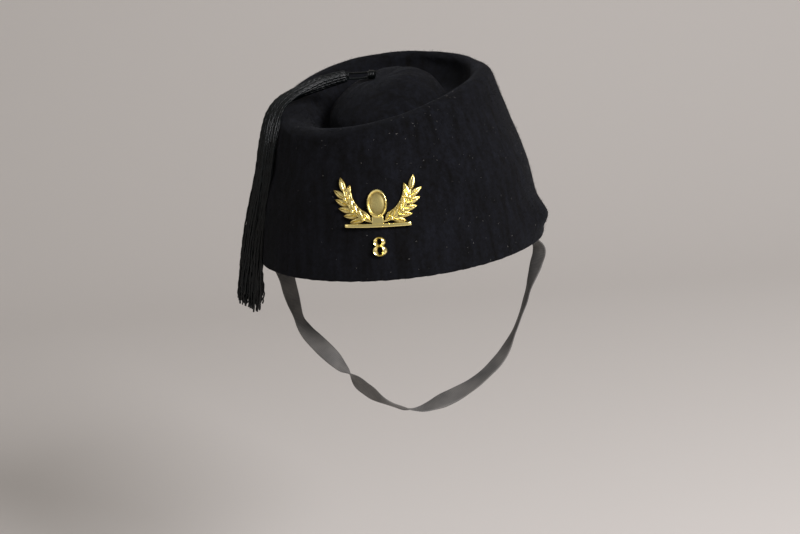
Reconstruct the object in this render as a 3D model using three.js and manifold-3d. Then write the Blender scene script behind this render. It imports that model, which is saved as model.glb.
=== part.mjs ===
// A worn black felt fez with a tassel, two gilt front badges and a ribbon chin strap.
// Millimetres, +Z up. The rim lies in the plane z = 0, centred on the origin, the front faces -Y
// and the wearer's left is +X. The strap and the tassel's end hang below the rim.

import * as THREE from "three";
import { mergeVertices } from "three/addons/utils/BufferGeometryUtils.js";
import Module from "manifold-3d";

const wasm = await Module();
wasm.setup();

const FIT_GAP = 0.3;
const MERGE_DISTANCE = 1e-4;
// How far a cutter runs past the faces that it cuts.
const CUT_MARGIN = 1.0;

// Felt crown: one shaped piece of felt, with a rolled lip round a sunken, domed tip.
const FELT_THICKNESS = 2.5;
const CROWN_SIDES = 64;
const ROWS_PER_SECTION = 2;

// Wall sections, from the rim up. Each is a level oval that is then tipped by its two rises:
// how much higher its back and its wearer's-left ends are than its middle.
const WALL_SECTIONS = [
  { halfWidth: 86.0, halfLength: 100.0, centreX: 0.0, height: 0.0, riseBack: 0.0, riseLeft: 0.0 },
  { halfWidth: 84.0, halfLength: 97.6, centreX: -0.2, height: 18.0, riseBack: 1.4, riseLeft: 0.6 },
  { halfWidth: 79.9, halfLength: 92.9, centreX: -0.7, height: 45.0, riseBack: 4.5, riseLeft: 2.2 },
  { halfWidth: 73.3, halfLength: 87.3, centreX: -2.0, height: 65.4, riseBack: 7.9, riseLeft: 3.8 },
];

// Rolled lip: a half-round fold carried round an oval.
const LIP = {
  halfWidth: 58.1,
  halfLength: 73.3,
  centreX: -3.2,
  foldHeight: 85.9,
  rollHeight: 9.3,
  outerRadius: 9.2,
  innerRadius: 7.0,
  riseBack: 11.3,
  riseLeft: 5.4,
};
const LIP_STEPS = 4;
// On the wearer's right the roll is broader, and its inner edge lies this much further in.
const LIP_INNER_SHIFT = 5.0;
// The worn lip is higher at its front left and back right than a flat oval would be.
const LIP_TWIST = -1.7;

// Sunken tip, from the groove inside the lip up to the middle of its dome.
const TIP_SECTIONS = [
  { halfWidth: 36.9, halfLength: 55.1, centreX: -0.2, height: 78.4, riseBack: 6.3, riseLeft: 6.3 },
  { halfWidth: 31.1, halfLength: 43.0, centreX: -3.2, height: 89.8, riseBack: 5.7, riseLeft: 5.7 },
  { halfWidth: 16.8, halfLength: 23.1, centreX: -3.2, height: 99.0, riseBack: 3.5, riseLeft: 3.5 },
  { halfWidth: 0.0, halfLength: 0.0, centreX: -3.2, height: 99.6, riseBack: 0.0, riseLeft: 0.0 },
];

// The felt is pushed out over the strap's end, just above the rim on the wearer's left.
const BULGE = { depth: 5.5, angle: THREE.MathUtils.degToRad(-10), spread: 0.25, height: 12.5, rise: 7.0 };

// Tassel: a flattened bundle that leaves the knot on the tip, crosses the lip and hangs down the
// wearer's right side. Its width lies along the felt and its depth stands off it.
const TASSEL_SECTIONS = [
  { x: -23.6, y: 0.0, z: 102.4, halfWidth: 2.6, halfDepth: 2.4 },
  { x: -24.4, y: -0.1, z: 102.3, halfWidth: 3.9, halfDepth: 3.7 },
  { x: -30.0, y: -1.2, z: 101.4, halfWidth: 5.0, halfDepth: 4.2 },
  { x: -38.0, y: -3.6, z: 99.7, halfWidth: 5.8, halfDepth: 4.3 },
  { x: -46.0, y: -7.2, z: 98.0, halfWidth: 6.4, halfDepth: 4.2 },
  { x: -54.5, y: -12.0, z: 95.8, halfWidth: 6.8, halfDepth: 3.8 },
  { x: -61.9, y: -18.1, z: 92.8, halfWidth: 7.0, halfDepth: 3.5 },
  { x: -66.9, y: -24.7, z: 87.7, halfWidth: 7.2, halfDepth: 3.4 },
  { x: -69.5, y: -29.8, z: 81.1, halfWidth: 7.4, halfDepth: 3.4 },
  { x: -72.1, y: -33.3, z: 71.1, halfWidth: 7.6, halfDepth: 3.4 },
  { x: -75.6, y: -35.0, z: 55.0, halfWidth: 7.8, halfDepth: 3.6 },
  { x: -81.6, y: -34.5, z: 34.0, halfWidth: 8.0, halfDepth: 4.2 },
  { x: -87.0, y: -32.0, z: 14.0, halfWidth: 8.0, halfDepth: 5.4 },
  { x: -90.4, y: -29.5, z: -2.0, halfWidth: 8.0, halfDepth: 6.4 },
  { x: -92.8, y: -27.5, z: -16.0, halfWidth: 8.2, halfDepth: 7.4 },
  { x: -94.6, y: -26.0, z: -27.0, halfWidth: 8.0, halfDepth: 7.4 },
];
// The tassel's width is kept square to the line from here.
const HAT_MIDDLE = new THREE.Vector3(0, -20, 40);
const TASSEL_SIDES = 14;
const TASSEL_ROWS = 34;

// Twin cords from the knot to the tassel, and the wound knot they come from.
const CORD_RADIUS = 0.65;
const CORD_SIDES = 8;
const CORD_STEPS = 8;
const CORDS = [
  { name: "tassel_cord_1", from: [-11.8, 1.3, 103.4], to: [-22.8, 1.4, 103.9] },
  { name: "tassel_cord_2", from: [-11.8, -1.3, 100.7], to: [-22.8, -1.4, 100.9] },
];
const CORD_SAG = 0.25;
const KNOT = { x: -8.6, y: 0.0, z: 101.9, length: 5.4, radius: 2.9, groove: 0.35, wraps: 3 };
const KNOT_SIDES = 20;
const KNOT_ROWS_PER_WRAP = 4;

// Badges: flat drawings in u (to the wearer's left) and v (up), bent on to the front of the felt.
const BADGE_X = -3.0;
const BADGE_GAP = 0.6;
// The emblem sits this much out of level.
const EMBLEM_TILT = THREE.MathUtils.degToRad(-1.6);
const BAR = { height: 30.0, halfLength: 18.0, halfHeight: 1.0, depth: 2.2 };
const CARTOUCHE = { v: 11.6, halfWidth: 5.6, halfHeight: 7.6, rim: 1.1, fieldDepth: 1.3, rimDepth: 2.1 };
const BRANCH = { stemRadius: 0.7, leafPairs: 6, firstLeaf: 0.12, lastLeaf: 0.97, berryRadius: 1.15, leafDepth: 1.5 };
const STEM_STEPS = 9;
const STEM_SIDES = 6;
const BERRY_SIDES = 7;
const BERRY_ROWS = 5;
const BRANCH_POINTS = [[1.2, 1.6], [8.0, 3.6], [13.6, 7.8], [17.0, 13.2], [18.4, 18.6]];
const LEAF = { length: 8.0, halfWidth: 1.9, spread: THREE.MathUtils.degToRad(38) };
const FOOT = { halfWidth: 3.2, top: 5.0, depth: 1.5 };
const NUMERAL = {
  height: 18.6,
  depth: 1.9,
  upper: { v: 2.6, halfWidth: 3.5, halfHeight: 2.85, holeHalfWidth: 1.05, holeHalfHeight: 1.6 },
  lower: { v: -2.2, halfWidth: 4.05, halfHeight: 3.2, holeHalfWidth: 1.25, holeHalfHeight: 1.95 },
};
const LOBE_SEGMENTS = 13;
const BAR_BENDS = 12;

// Screw posts soldered behind the badges, and the nuts that hold them inside the hat.
const POST = { radius: 0.8, root: 0.9, reach: 6.6, sides: 16 };
const NUT = { sides: 6, acrossCorners: 5.0, thickness: 1.6, gap: 0.5 };
const EMBLEM_POSTS = [
  { nut: "emblem_nut_right", u: -12.0, v: 0.3 },
  { nut: "emblem_nut_left", u: 12.0, v: -0.3 },
];
const NUMERAL_POST = { nut: "numeral_nut", u: 0.0, v: 0.4 };

// Chin strap: a flat ribbon sewn inside the crown at both ends. turn is how far its width is
// turned from front-and-back, lying flat on the side of the head, towards facing the front.
const STRAP = { width: 10.0, thickness: 1.0, rows: 72 };
const STRAP_ROUTE = [
  { x: -76.4, y: -21.0, z: 22.0, turn: 4 },
  { x: -76.5, y: -22.0, z: 12.0, turn: 10 },
  { x: -73.4, y: -24.6, z: 0.0, turn: 38 },
  { x: -69.0, y: -27.2, z: -10.5, turn: 54 },
  { x: -66.4, y: -31.0, z: -21.5, turn: 50 },
  { x: -62.6, y: -36.4, z: -34.0, turn: 22 },
  { x: -58.0, y: -40.0, z: -42.5, turn: 34 },
  { x: -49.8, y: -45.0, z: -50.6, turn: 58 },
  { x: -42.6, y: -49.0, z: -57.4, turn: 46 },
  { x: -36.0, y: -52.0, z: -64.6, turn: 4 },
  { x: -29.6, y: -54.8, z: -70.8, turn: -50 },
  { x: -22.0, y: -57.4, z: -77.0, turn: -60 },
  { x: -12.4, y: -59.8, z: -83.4, turn: -36 },
  { x: -2.0, y: -61.0, z: -87.8, turn: -24 },
  { x: 7.8, y: -60.2, z: -88.6, turn: 2 },
  { x: 19.0, y: -57.2, z: -86.0, turn: 34 },
  { x: 30.4, y: -53.0, z: -82.4, turn: 40 },
  { x: 43.6, y: -47.6, z: -75.8, turn: 24 },
  { x: 55.6, y: -41.4, z: -66.2, turn: 26 },
  { x: 64.0, y: -35.4, z: -54.2, turn: 10 },
  { x: 71.0, y: -28.6, z: -40.0, turn: 8 },
  { x: 75.6, y: -23.6, z: -28.6, turn: 14 },
  { x: 80.4, y: -18.8, z: -17.0, turn: 42 },
  { x: 82.8, y: -17.0, z: -8.0, turn: 48 },
  { x: 78.5, y: -15.8, z: 1.4, turn: 5 },
  { x: 78.6, y: -14.8, z: 8.0, turn: -2 },
  { x: 77.8, y: -14.2, z: 16.0, turn: -2 },
  { x: 76.8, y: -14.0, z: 24.0, turn: -4 },
];

const FELT = new THREE.MeshStandardMaterial({ color: 0x17171a, roughness: 0.95, metalness: 0.0 });
const SILK = new THREE.MeshStandardMaterial({ color: 0x1a2122, roughness: 0.5, metalness: 0.0 });
const RIBBON = new THREE.MeshStandardMaterial({ color: 0x37363a, roughness: 0.7, metalness: 0.0 });
const GILT = new THREE.MeshStandardMaterial({ color: 0xcfa24a, roughness: 0.3, metalness: 1.0 });
const BRASS = new THREE.MeshStandardMaterial({ color: 0xa08a52, roughness: 0.45, metalness: 1.0 });

// All sections of the outer face of the felt, in order from the rim to the middle of the tip.
function crownSections() {
  const lip = [];
  for (let step = 0; step <= LIP_STEPS; step += 1) {
    const turn = (Math.PI * step) / LIP_STEPS;
    const radius = Math.cos(turn) > 0 ? LIP.outerRadius : LIP.innerRadius;
    const shift = LIP_INNER_SHIFT * Math.max(0, -Math.cos(turn));
    lip.push({
      halfWidth: LIP.halfWidth + radius * Math.cos(turn) - shift,
      halfLength: LIP.halfLength + radius * Math.cos(turn),
      centreX: LIP.centreX + shift,
      height: LIP.foldHeight + LIP.rollHeight * Math.sin(turn),
      riseBack: LIP.riseBack,
      riseLeft: LIP.riseLeft,
    });
  }
  return [...WALL_SECTIONS, ...lip, ...TIP_SECTIONS];
}

const SECTIONS = crownSections();

// The point of one section at an angle counted from the wearer's left towards the back.
function sectionPoint(section, angle) {
  const twist = (LIP_TWIST * section.riseBack) / LIP.riseBack;
  const tip = section.riseBack * Math.sin(angle) + section.riseLeft * Math.cos(angle);
  return new THREE.Vector3(
    section.centreX + section.halfWidth * Math.cos(angle),
    section.halfLength * Math.sin(angle),
    section.height + tip + twist * Math.sin(2 * angle),
  );
}

// The smooth line up the outer face at one angle, through every section.
function meridian(angle) {
  const points = SECTIONS.map((section) => sectionPoint(section, angle));
  return new THREE.CatmullRomCurve3(points, false, "catmullrom", 0.5);
}

// A point of the outer face; along runs from 0 at the rim to 1 at the middle of the tip.
function crownPoint(line, angle, along) {
  const point = line.getPoint(along);
  const away = Math.atan2(Math.sin(angle - BULGE.angle), Math.cos(angle - BULGE.angle));
  const across = Math.exp(-((away / BULGE.spread) ** 2));
  const upwards = Math.exp(-(((point.z - BULGE.height) / BULGE.rise) ** 2));
  point.x += BULGE.depth * across * upwards;
  return point;
}

// The outward direction at a vertex of a closed-round grid, from its four neighbours.
function gridNormal(grid, row, side) {
  const sides = grid[row].length;
  const above = grid[Math.min(row + 1, grid.length - 1)][side];
  const below = grid[Math.max(row - 1, 0)][side];
  const next = grid[row][(side + 1) % sides];
  const last = grid[row][(side + sides - 1) % sides];
  return next.clone().sub(last).cross(above.clone().sub(below)).normalize();
}

// The points and triangles of closed rings joined in order, with both ends still open.
function joinedRings(rings) {
  const sides = rings[0].length;
  const positions = rings.flat().flatMap((point) => point.toArray());
  const index = [];
  for (let ring = 0; ring < rings.length - 1; ring += 1) {
    const here = ring * sides;
    const there = here + sides;
    for (let side = 0; side < sides; side += 1) {
      const next = (side + 1) % sides;
      index.push(here + side, here + next, there + next);
      index.push(here + side, there + next, there + side);
    }
  }
  return { positions, index, sides };
}

// A three.js geometry from flat lists of coordinates and of triangle corners.
function bufferGeometry(positions, index) {
  const geometry = new THREE.BufferGeometry();
  geometry.setAttribute("position", new THREE.Float32BufferAttribute(positions, 3));
  geometry.setIndex(index);
  return geometry;
}

// Rings joined in order, with a fan to the middle of the first ring and of the last.
function cappedTube(rings) {
  const { positions, index, sides } = joinedRings(rings);
  const lastRing = (rings.length - 1) * sides;
  const firstMiddle = rings.length * sides;
  for (const ring of [rings[0], rings[rings.length - 1]]) {
    const middle = new THREE.Vector3();
    ring.forEach((point) => middle.addScaledVector(point, 1 / sides));
    positions.push(...middle.toArray());
  }
  for (let side = 0; side < sides; side += 1) {
    const next = (side + 1) % sides;
    index.push(firstMiddle, next, side);
    index.push(firstMiddle + 1, lastRing + side, lastRing + next);
  }
  return bufferGeometry(positions, index);
}

// The felt wall: the outer face, the rim's cut edge, and the inner face one thickness inside.
function crownGeometry() {
  const rows = (SECTIONS.length - 1) * ROWS_PER_SECTION;
  const angles = Array.from({ length: CROWN_SIDES }, (_, side) => (2 * Math.PI * side) / CROWN_SIDES);
  const lines = angles.map(meridian);
  const outer = [];
  for (let row = 0; row < rows; row += 1) {
    outer.push(angles.map((angle, side) => crownPoint(lines[side], angle, row / rows)));
  }
  const inner = outer.map((ring, row) =>
    ring.map((point, side) => point.clone().addScaledVector(gridNormal(outer, row, side), -FELT_THICKNESS)),
  );
  for (const point of inner[0]) point.z = 0;
  const top = lines[0].getPoint(1);
  const underTop = top.clone().add(new THREE.Vector3(0, 0, -FELT_THICKNESS));
  const rings = [...inner.reverse(), ...outer];
  const { positions, index, sides } = joinedRings(rings);
  const lastRing = (rings.length - 1) * sides;
  const underMiddle = rings.length * sides;
  positions.push(...underTop.toArray(), ...top.toArray());
  for (let side = 0; side < sides; side += 1) {
    const next = (side + 1) % sides;
    index.push(underMiddle, next, side);
    index.push(underMiddle + 1, lastRing + side, lastRing + next);
  }
  return bufferGeometry(positions, index);
}

// The outer face of the front of the felt at a given x and height, with its outward direction.
function frontFace(x, height) {
  const settleRounds = 14;
  const step = 1e-3;
  const frontRadius = 85;
  const rowHeight = 22;
  let angle = 1.5 * Math.PI;
  let along = 1.5 / (SECTIONS.length - 1);
  for (let round = 0; round < settleRounds; round += 1) {
    const found = crownPoint(meridian(angle), angle, along);
    angle += (x - found.x) / frontRadius;
    along += (height - found.z) / rowHeight / (SECTIONS.length - 1);
  }
  const point = crownPoint(meridian(angle), angle, along);
  const beside = crownPoint(meridian(angle + step), angle + step, along).sub(point);
  const above = crownPoint(meridian(angle), angle, along + step).sub(point);
  return { point, normal: beside.cross(above).normalize() };
}

// Bends a flat drawing on to the felt: its x runs across, its y up, and its z stands off.
function bendOntoFront(geometry, height) {
  const position = geometry.getAttribute("position");
  for (let i = 0; i < position.count; i += 1) {
    const { point, normal } = frontFace(BADGE_X + position.getX(i), height + position.getY(i));
    point.addScaledVector(normal, BADGE_GAP + position.getZ(i));
    position.setXYZ(i, point.x, point.y, point.z);
  }
  return geometry;
}

// A three.js geometry as a manifold-3d solid.
function solid(geometry) {
  const bare = geometry.clone();
  bare.deleteAttribute("normal");
  bare.deleteAttribute("uv");
  const merged = mergeVertices(bare, MERGE_DISTANCE);
  return new wasm.Manifold(
    new wasm.Mesh({
      numProp: 3,
      vertProperties: merged.attributes.position.array,
      triVerts: new Uint32Array(merged.index.array),
    }),
  );
}

// A manifold-3d solid as a three.js geometry.
function geometryOf(made) {
  const mesh = made.getMesh();
  return bufferGeometry(Array.from(mesh.vertProperties), Array.from(mesh.triVerts));
}

function join(solids) {
  return solids.reduce((all, next) => all.add(next));
}

function extruded(shape, depth, curveSegments) {
  return new THREE.ExtrudeGeometry(shape, { depth, bevelEnabled: false, curveSegments });
}

function ellipse(v, halfWidth, halfHeight) {
  const shape = new THREE.Shape();
  shape.absellipse(0, v, halfWidth, halfHeight, 0, 2 * Math.PI);
  return shape;
}

// A laurel leaf that points along +X from its stalk, as an outline of eight points.
function leafShape() {
  const stations = [[0.0, 0.12], [0.22, 0.7], [0.5, 1.0], [0.78, 0.66], [1.0, 0.0]];
  const upper = stations.map(([t, w]) => new THREE.Vector2(t * LEAF.length, w * LEAF.halfWidth));
  const lower = upper.slice(0, -1).reverse().map((point) => new THREE.Vector2(point.x, -point.y));
  return new THREE.Shape([...upper, ...lower]);
}

// One laurel branch: a stem along its curve, pairs of leaves and a berry in every second axil.
// The first pair has only its upper leaf, because the bar is just below it.
function branchSolids(side) {
  const points = BRANCH_POINTS.map(([u, v]) => new THREE.Vector3(side * u, v, BRANCH.stemRadius));
  const stem = new THREE.CatmullRomCurve3(points);
  const section = new THREE.Shape();
  section.absarc(0, 0, BRANCH.stemRadius, 0, 2 * Math.PI);
  const solids = [
    solid(
      new THREE.ExtrudeGeometry(section, {
        extrudePath: stem,
        steps: STEM_STEPS,
        curveSegments: STEM_SIDES / 2,
      }),
    ),
  ];
  const leaf = leafShape();
  for (let pair = 0; pair <= BRANCH.leafPairs; pair += 1) {
    const along = BRANCH.firstLeaf + ((BRANCH.lastLeaf - BRANCH.firstLeaf) * pair) / BRANCH.leafPairs;
    const base = stem.getPointAt(along);
    const tangent = stem.getTangentAt(along);
    const heading = Math.atan2(tangent.y, tangent.x);
    const last = pair === BRANCH.leafPairs;
    const spreads = pair === 0 ? [side * LEAF.spread] : [LEAF.spread, -LEAF.spread];
    for (const turn of last ? [0] : spreads) {
      const shape = extruded(leaf, BRANCH.leafDepth, 1);
      shape.rotateZ(heading + turn);
      shape.translate(base.x, base.y, 0);
      solids.push(solid(shape));
    }
    if (!last && pair % 2 === 1) {
      const berry = new THREE.SphereGeometry(BRANCH.berryRadius, BERRY_SIDES, BERRY_ROWS);
      berry.translate(base.x, base.y, BRANCH.leafDepth);
      solids.push(solid(berry));
    }
  }
  return solids;
}

// The bar is divided along its length, so that it can bend.
function barGeometry() {
  const bar = new THREE.BoxGeometry(2 * BAR.halfLength, 2 * BAR.halfHeight, BAR.depth, BAR_BENDS, 1, 1);
  bar.translate(0, 0, BAR.depth / 2);
  return bar;
}

// The blank oval shield: a field inside a raised rim.
function cartoucheSolid() {
  const { v, halfWidth, halfHeight, rim, fieldDepth, rimDepth } = CARTOUCHE;
  const field = solid(extruded(ellipse(v, halfWidth, halfHeight), fieldDepth, LOBE_SEGMENTS));
  const ring = ellipse(v, halfWidth, halfHeight);
  ring.holes.push(ellipse(v, halfWidth - rim, halfHeight - rim));
  return field.add(solid(extruded(ring, rimDepth, LOBE_SEGMENTS)));
}

// The short pedestal between the bar and the shield.
function footGeometry() {
  const width = 2 * FOOT.halfWidth;
  const foot = new THREE.BoxGeometry(width, FOOT.top, FOOT.depth);
  foot.translate(0, FOOT.top / 2, FOOT.depth / 2);
  return foot;
}

// A post stands on the back of its badge, square to the felt, and runs through it.
function postFrame(post, height) {
  const { point, normal } = frontFace(BADGE_X + post.u, height + post.v);
  const turn = new THREE.Quaternion().setFromUnitVectors(new THREE.Vector3(0, 1, 0), normal);
  return { point, turn };
}

// A round or six-sided rod on a post's line, between two distances from the outer face.
function rodAt(frame, radius, sides, from, to) {
  const rod = new THREE.CylinderGeometry(radius, radius, to - from, sides);
  rod.translate(0, (from + to) / 2, 0);
  rod.applyQuaternion(frame.turn);
  rod.translate(frame.point.x, frame.point.y, frame.point.z);
  return rod;
}

function postSolid(post, height) {
  const frame = postFrame(post, height);
  return solid(rodAt(frame, POST.radius, POST.sides, -POST.reach, BADGE_GAP + POST.root));
}

function holeSolid(post, height) {
  const frame = postFrame(post, height);
  const past = 2 * FELT_THICKNESS;
  return solid(rodAt(frame, POST.radius + FIT_GAP, POST.sides, -past, FELT_THICKNESS));
}

function nutSolid(post, height) {
  const frame = postFrame(post, height);
  const front = -FELT_THICKNESS - NUT.gap;
  const back = front - NUT.thickness;
  const body = solid(rodAt(frame, NUT.acrossCorners / 2, NUT.sides, back, front));
  const bore = rodAt(frame, POST.radius + FIT_GAP, POST.sides, back - CUT_MARGIN, front + CUT_MARGIN);
  return body.subtract(solid(bore));
}

// The emblem: bar, pedestal, blank shield and two laurel branches soldered into one piece.
function emblemGeometry() {
  const flat = join([
    solid(barGeometry()),
    solid(footGeometry()),
    cartoucheSolid(),
    ...branchSolids(-1),
    ...branchSolids(1),
  ]);
  const tilted = geometryOf(flat).rotateZ(EMBLEM_TILT);
  const bent = solid(bendOntoFront(tilted, BAR.height));
  return geometryOf(join([bent, ...EMBLEM_POSTS.map((post) => postSolid(post, BAR.height))]));
}

// The figure eight: two oval lobes, each with its own counter.
function numeralGeometry() {
  const { upper, lower, depth } = NUMERAL;
  const lobes = [upper, lower].map((lobe) =>
    solid(extruded(ellipse(lobe.v, lobe.halfWidth, lobe.halfHeight), depth, LOBE_SEGMENTS)),
  );
  const counters = [upper, lower].map((lobe) => {
    const counter = ellipse(lobe.v, lobe.holeHalfWidth, lobe.holeHalfHeight);
    const cutter = extruded(counter, depth + 2 * CUT_MARGIN, LOBE_SEGMENTS);
    cutter.translate(0, 0, -CUT_MARGIN);
    return solid(cutter);
  });
  const flat = join(lobes).subtract(join(counters));
  const bent = solid(bendOntoFront(geometryOf(flat), NUMERAL.height));
  return geometryOf(bent.add(postSolid(NUMERAL_POST, NUMERAL.height)));
}

// Rings of points across a path: the first direction lies along the felt, the second stands off.
function tasselGeometry() {
  const path = new THREE.CatmullRomCurve3(TASSEL_SECTIONS.map(({ x, y, z }) => new THREE.Vector3(x, y, z)));
  const sizes = new THREE.CatmullRomCurve3(
    TASSEL_SECTIONS.map(({ halfWidth, halfDepth }) => new THREE.Vector3(halfWidth, halfDepth, 0)),
  );
  const rings = [];
  for (let row = 0; row <= TASSEL_ROWS; row += 1) {
    const t = row / TASSEL_ROWS;
    const middle = path.getPoint(t);
    const size = sizes.getPoint(t);
    const tangent = path.getTangent(t);
    const across = middle.clone().sub(HAT_MIDDLE).cross(tangent).normalize();
    const outward = tangent.clone().cross(across);
    rings.push(
      Array.from({ length: TASSEL_SIDES }, (_, side) => {
        const angle = (2 * Math.PI * side) / TASSEL_SIDES;
        return middle
          .clone()
          .addScaledVector(across, size.x * Math.cos(angle))
          .addScaledVector(outward, size.y * Math.sin(angle));
      }),
    );
  }
  return cappedTube(rings);
}

function cordGeometry(cord) {
  const from = new THREE.Vector3(...cord.from);
  const to = new THREE.Vector3(...cord.to);
  const middle = from.clone().lerp(to, 0.5);
  middle.z -= CORD_SAG;
  const section = new THREE.Shape();
  section.absarc(0, 0, CORD_RADIUS, 0, 2 * Math.PI);
  const extrudePath = new THREE.CatmullRomCurve3([from, middle, to]);
  const curveSegments = CORD_SIDES / 2;
  return new THREE.ExtrudeGeometry(section, { extrudePath, steps: CORD_STEPS, curveSegments });
}

// The knot: thread wound round the cords, as a turned form with one bulge for each wrap.
function knotGeometry() {
  const rows = KNOT.wraps * KNOT_ROWS_PER_WRAP;
  const profile = [new THREE.Vector2(0, -KNOT.length / 2)];
  for (let row = 0; row <= rows; row += 1) {
    const t = row / rows;
    const bulge = Math.abs(Math.sin(Math.PI * KNOT.wraps * t));
    const rounding = Math.sqrt(Math.max(0.25, 1 - (2 * t - 1) ** 4));
    const radius = KNOT.radius * rounding - KNOT.groove * (1 - bulge);
    profile.push(new THREE.Vector2(radius, KNOT.length * (t - 0.5)));
  }
  profile.push(new THREE.Vector2(0, KNOT.length / 2));
  const knot = new THREE.LatheGeometry(profile, KNOT_SIDES);
  knot.rotateZ(Math.PI / 2);
  knot.translate(KNOT.x, KNOT.y, KNOT.z);
  return knot;
}

// The ribbon: a thin flat section carried along its route and turned about it.
function strapGeometry() {
  const frontBack = new THREE.Vector3(0, 1, 0);
  const path = new THREE.CatmullRomCurve3(STRAP_ROUTE.map(({ x, y, z }) => new THREE.Vector3(x, y, z)));
  const turns = new THREE.CatmullRomCurve3(STRAP_ROUTE.map(({ turn }, i) => new THREE.Vector3(turn, i, 0)));
  const rings = [];
  for (let row = 0; row <= STRAP.rows; row += 1) {
    const t = row / STRAP.rows;
    const tangent = path.getTangent(t);
    const level = frontBack.clone().addScaledVector(tangent, -frontBack.dot(tangent)).normalize();
    const turn = THREE.MathUtils.degToRad(turns.getPoint(t).x);
    const across = level.applyAxisAngle(tangent, turn);
    const through = tangent.clone().cross(across);
    const corners = [[-1, -1], [1, -1], [1, 1], [-1, 1]];
    rings.push(
      corners.map(([a, b]) =>
        path
          .getPoint(t)
          .addScaledVector(across, (a * STRAP.width) / 2)
          .addScaledVector(through, (b * STRAP.thickness) / 2),
      ),
    );
  }
  return cappedTube(rings);
}

function piece(name, geometry, material) {
  const mesh = new THREE.Mesh(geometry, material);
  mesh.name = name;
  return mesh;
}

function buildFez() {
  const postHoles = [
    ...EMBLEM_POSTS.map((post) => holeSolid(post, BAR.height)),
    holeSolid(NUMERAL_POST, NUMERAL.height),
  ];
  const crown = geometryOf(solid(crownGeometry()).subtract(join(postHoles)));
  const hat = new THREE.Group();
  hat.add(piece("crown", crown, FELT));
  hat.add(piece("crown_knot", knotGeometry(), SILK));
  for (const cord of CORDS) hat.add(piece(cord.name, cordGeometry(cord), SILK));
  hat.add(piece("tassel_skirt", tasselGeometry(), SILK));
  hat.add(piece("badge_emblem", emblemGeometry(), GILT));
  hat.add(piece("badge_numeral", numeralGeometry(), GILT));
  for (const post of EMBLEM_POSTS) {
    hat.add(piece(post.nut, geometryOf(nutSolid(post, BAR.height)), BRASS));
  }
  hat.add(piece(NUMERAL_POST.nut, geometryOf(nutSolid(NUMERAL_POST, NUMERAL.height)), BRASS));
  hat.add(piece("chin_strap", strapGeometry(), RIBBON));
  return hat;
}

export default buildFez();
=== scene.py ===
"""The looks of a worn black felt fez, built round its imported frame.

Metres, +Z up. The rim lies in the plane z = 0, the front faces -Y and the wearer's left is +X.
Tables are written in millimetres and turned to metres by MM where they are read.
"""

import logging
import math
from dataclasses import dataclass, field
from enum import Enum

import bpy
import numpy as np
from mathutils import Matrix


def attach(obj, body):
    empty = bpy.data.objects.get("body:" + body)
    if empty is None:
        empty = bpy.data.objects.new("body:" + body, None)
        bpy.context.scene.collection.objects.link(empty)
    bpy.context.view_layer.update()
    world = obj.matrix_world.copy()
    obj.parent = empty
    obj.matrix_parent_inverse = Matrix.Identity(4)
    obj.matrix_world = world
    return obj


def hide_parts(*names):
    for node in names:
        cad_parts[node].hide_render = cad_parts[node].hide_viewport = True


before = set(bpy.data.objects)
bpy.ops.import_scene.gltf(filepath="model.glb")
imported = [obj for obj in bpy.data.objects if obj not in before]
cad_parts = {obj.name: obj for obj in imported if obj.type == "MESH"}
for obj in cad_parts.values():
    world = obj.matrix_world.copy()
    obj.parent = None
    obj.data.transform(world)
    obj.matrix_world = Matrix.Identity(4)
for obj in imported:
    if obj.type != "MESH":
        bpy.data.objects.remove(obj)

LOG = logging.getLogger("fez")
MM = 0.001
BODY = "root"
TURN = 2 * math.pi


class Ends(Enum):
    """How a run of rings is closed at its two ends."""

    POLES = "a fan to the middle of each end ring"
    JOINED = "the last ring joins the first"


class Spacing(Enum):
    """How a smooth curve spends its parameter between its points."""

    EVEN = "the same share for every span"
    CENTRIPETAL = "a share by the square root of each span's length"


# ---------------------------------------------------------------- small tools


def linear(colour: int) -> tuple[float, float, float, float]:
    """Turns an sRGB hex colour to linear light.

    Args:
        colour: The colour as 0xRRGGBB.

    Returns:
        Linear red, green, blue and an alpha of 1.
    """
    parts = [((colour >> shift) & 0xFF) / 255 for shift in (16, 8, 0)]
    light = [c / 12.92 if c <= 0.04045 else ((c + 0.055) / 1.055) ** 2.4 for c in parts]
    return (*light, 1.0)


def add_node(tree: bpy.types.NodeTree, kind: str, settings: dict, links: dict) -> bpy.types.Node:
    """Adds one node to a material.

    Args:
        tree: The material's node tree.
        kind: The node's type name, such as ShaderNodeBump.
        settings: Properties by name, and input values by (input name or number,).
        links: Source sockets by input name or number.

    Returns:
        The new node.
    """
    node = tree.nodes.new(kind)
    for name, value in settings.items():
        if isinstance(name, tuple):
            node.inputs[name[0]].default_value = value
        else:
            setattr(node, name, value)
    for name, socket in links.items():
        tree.links.new(socket, node.inputs[name])
    return node


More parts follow.
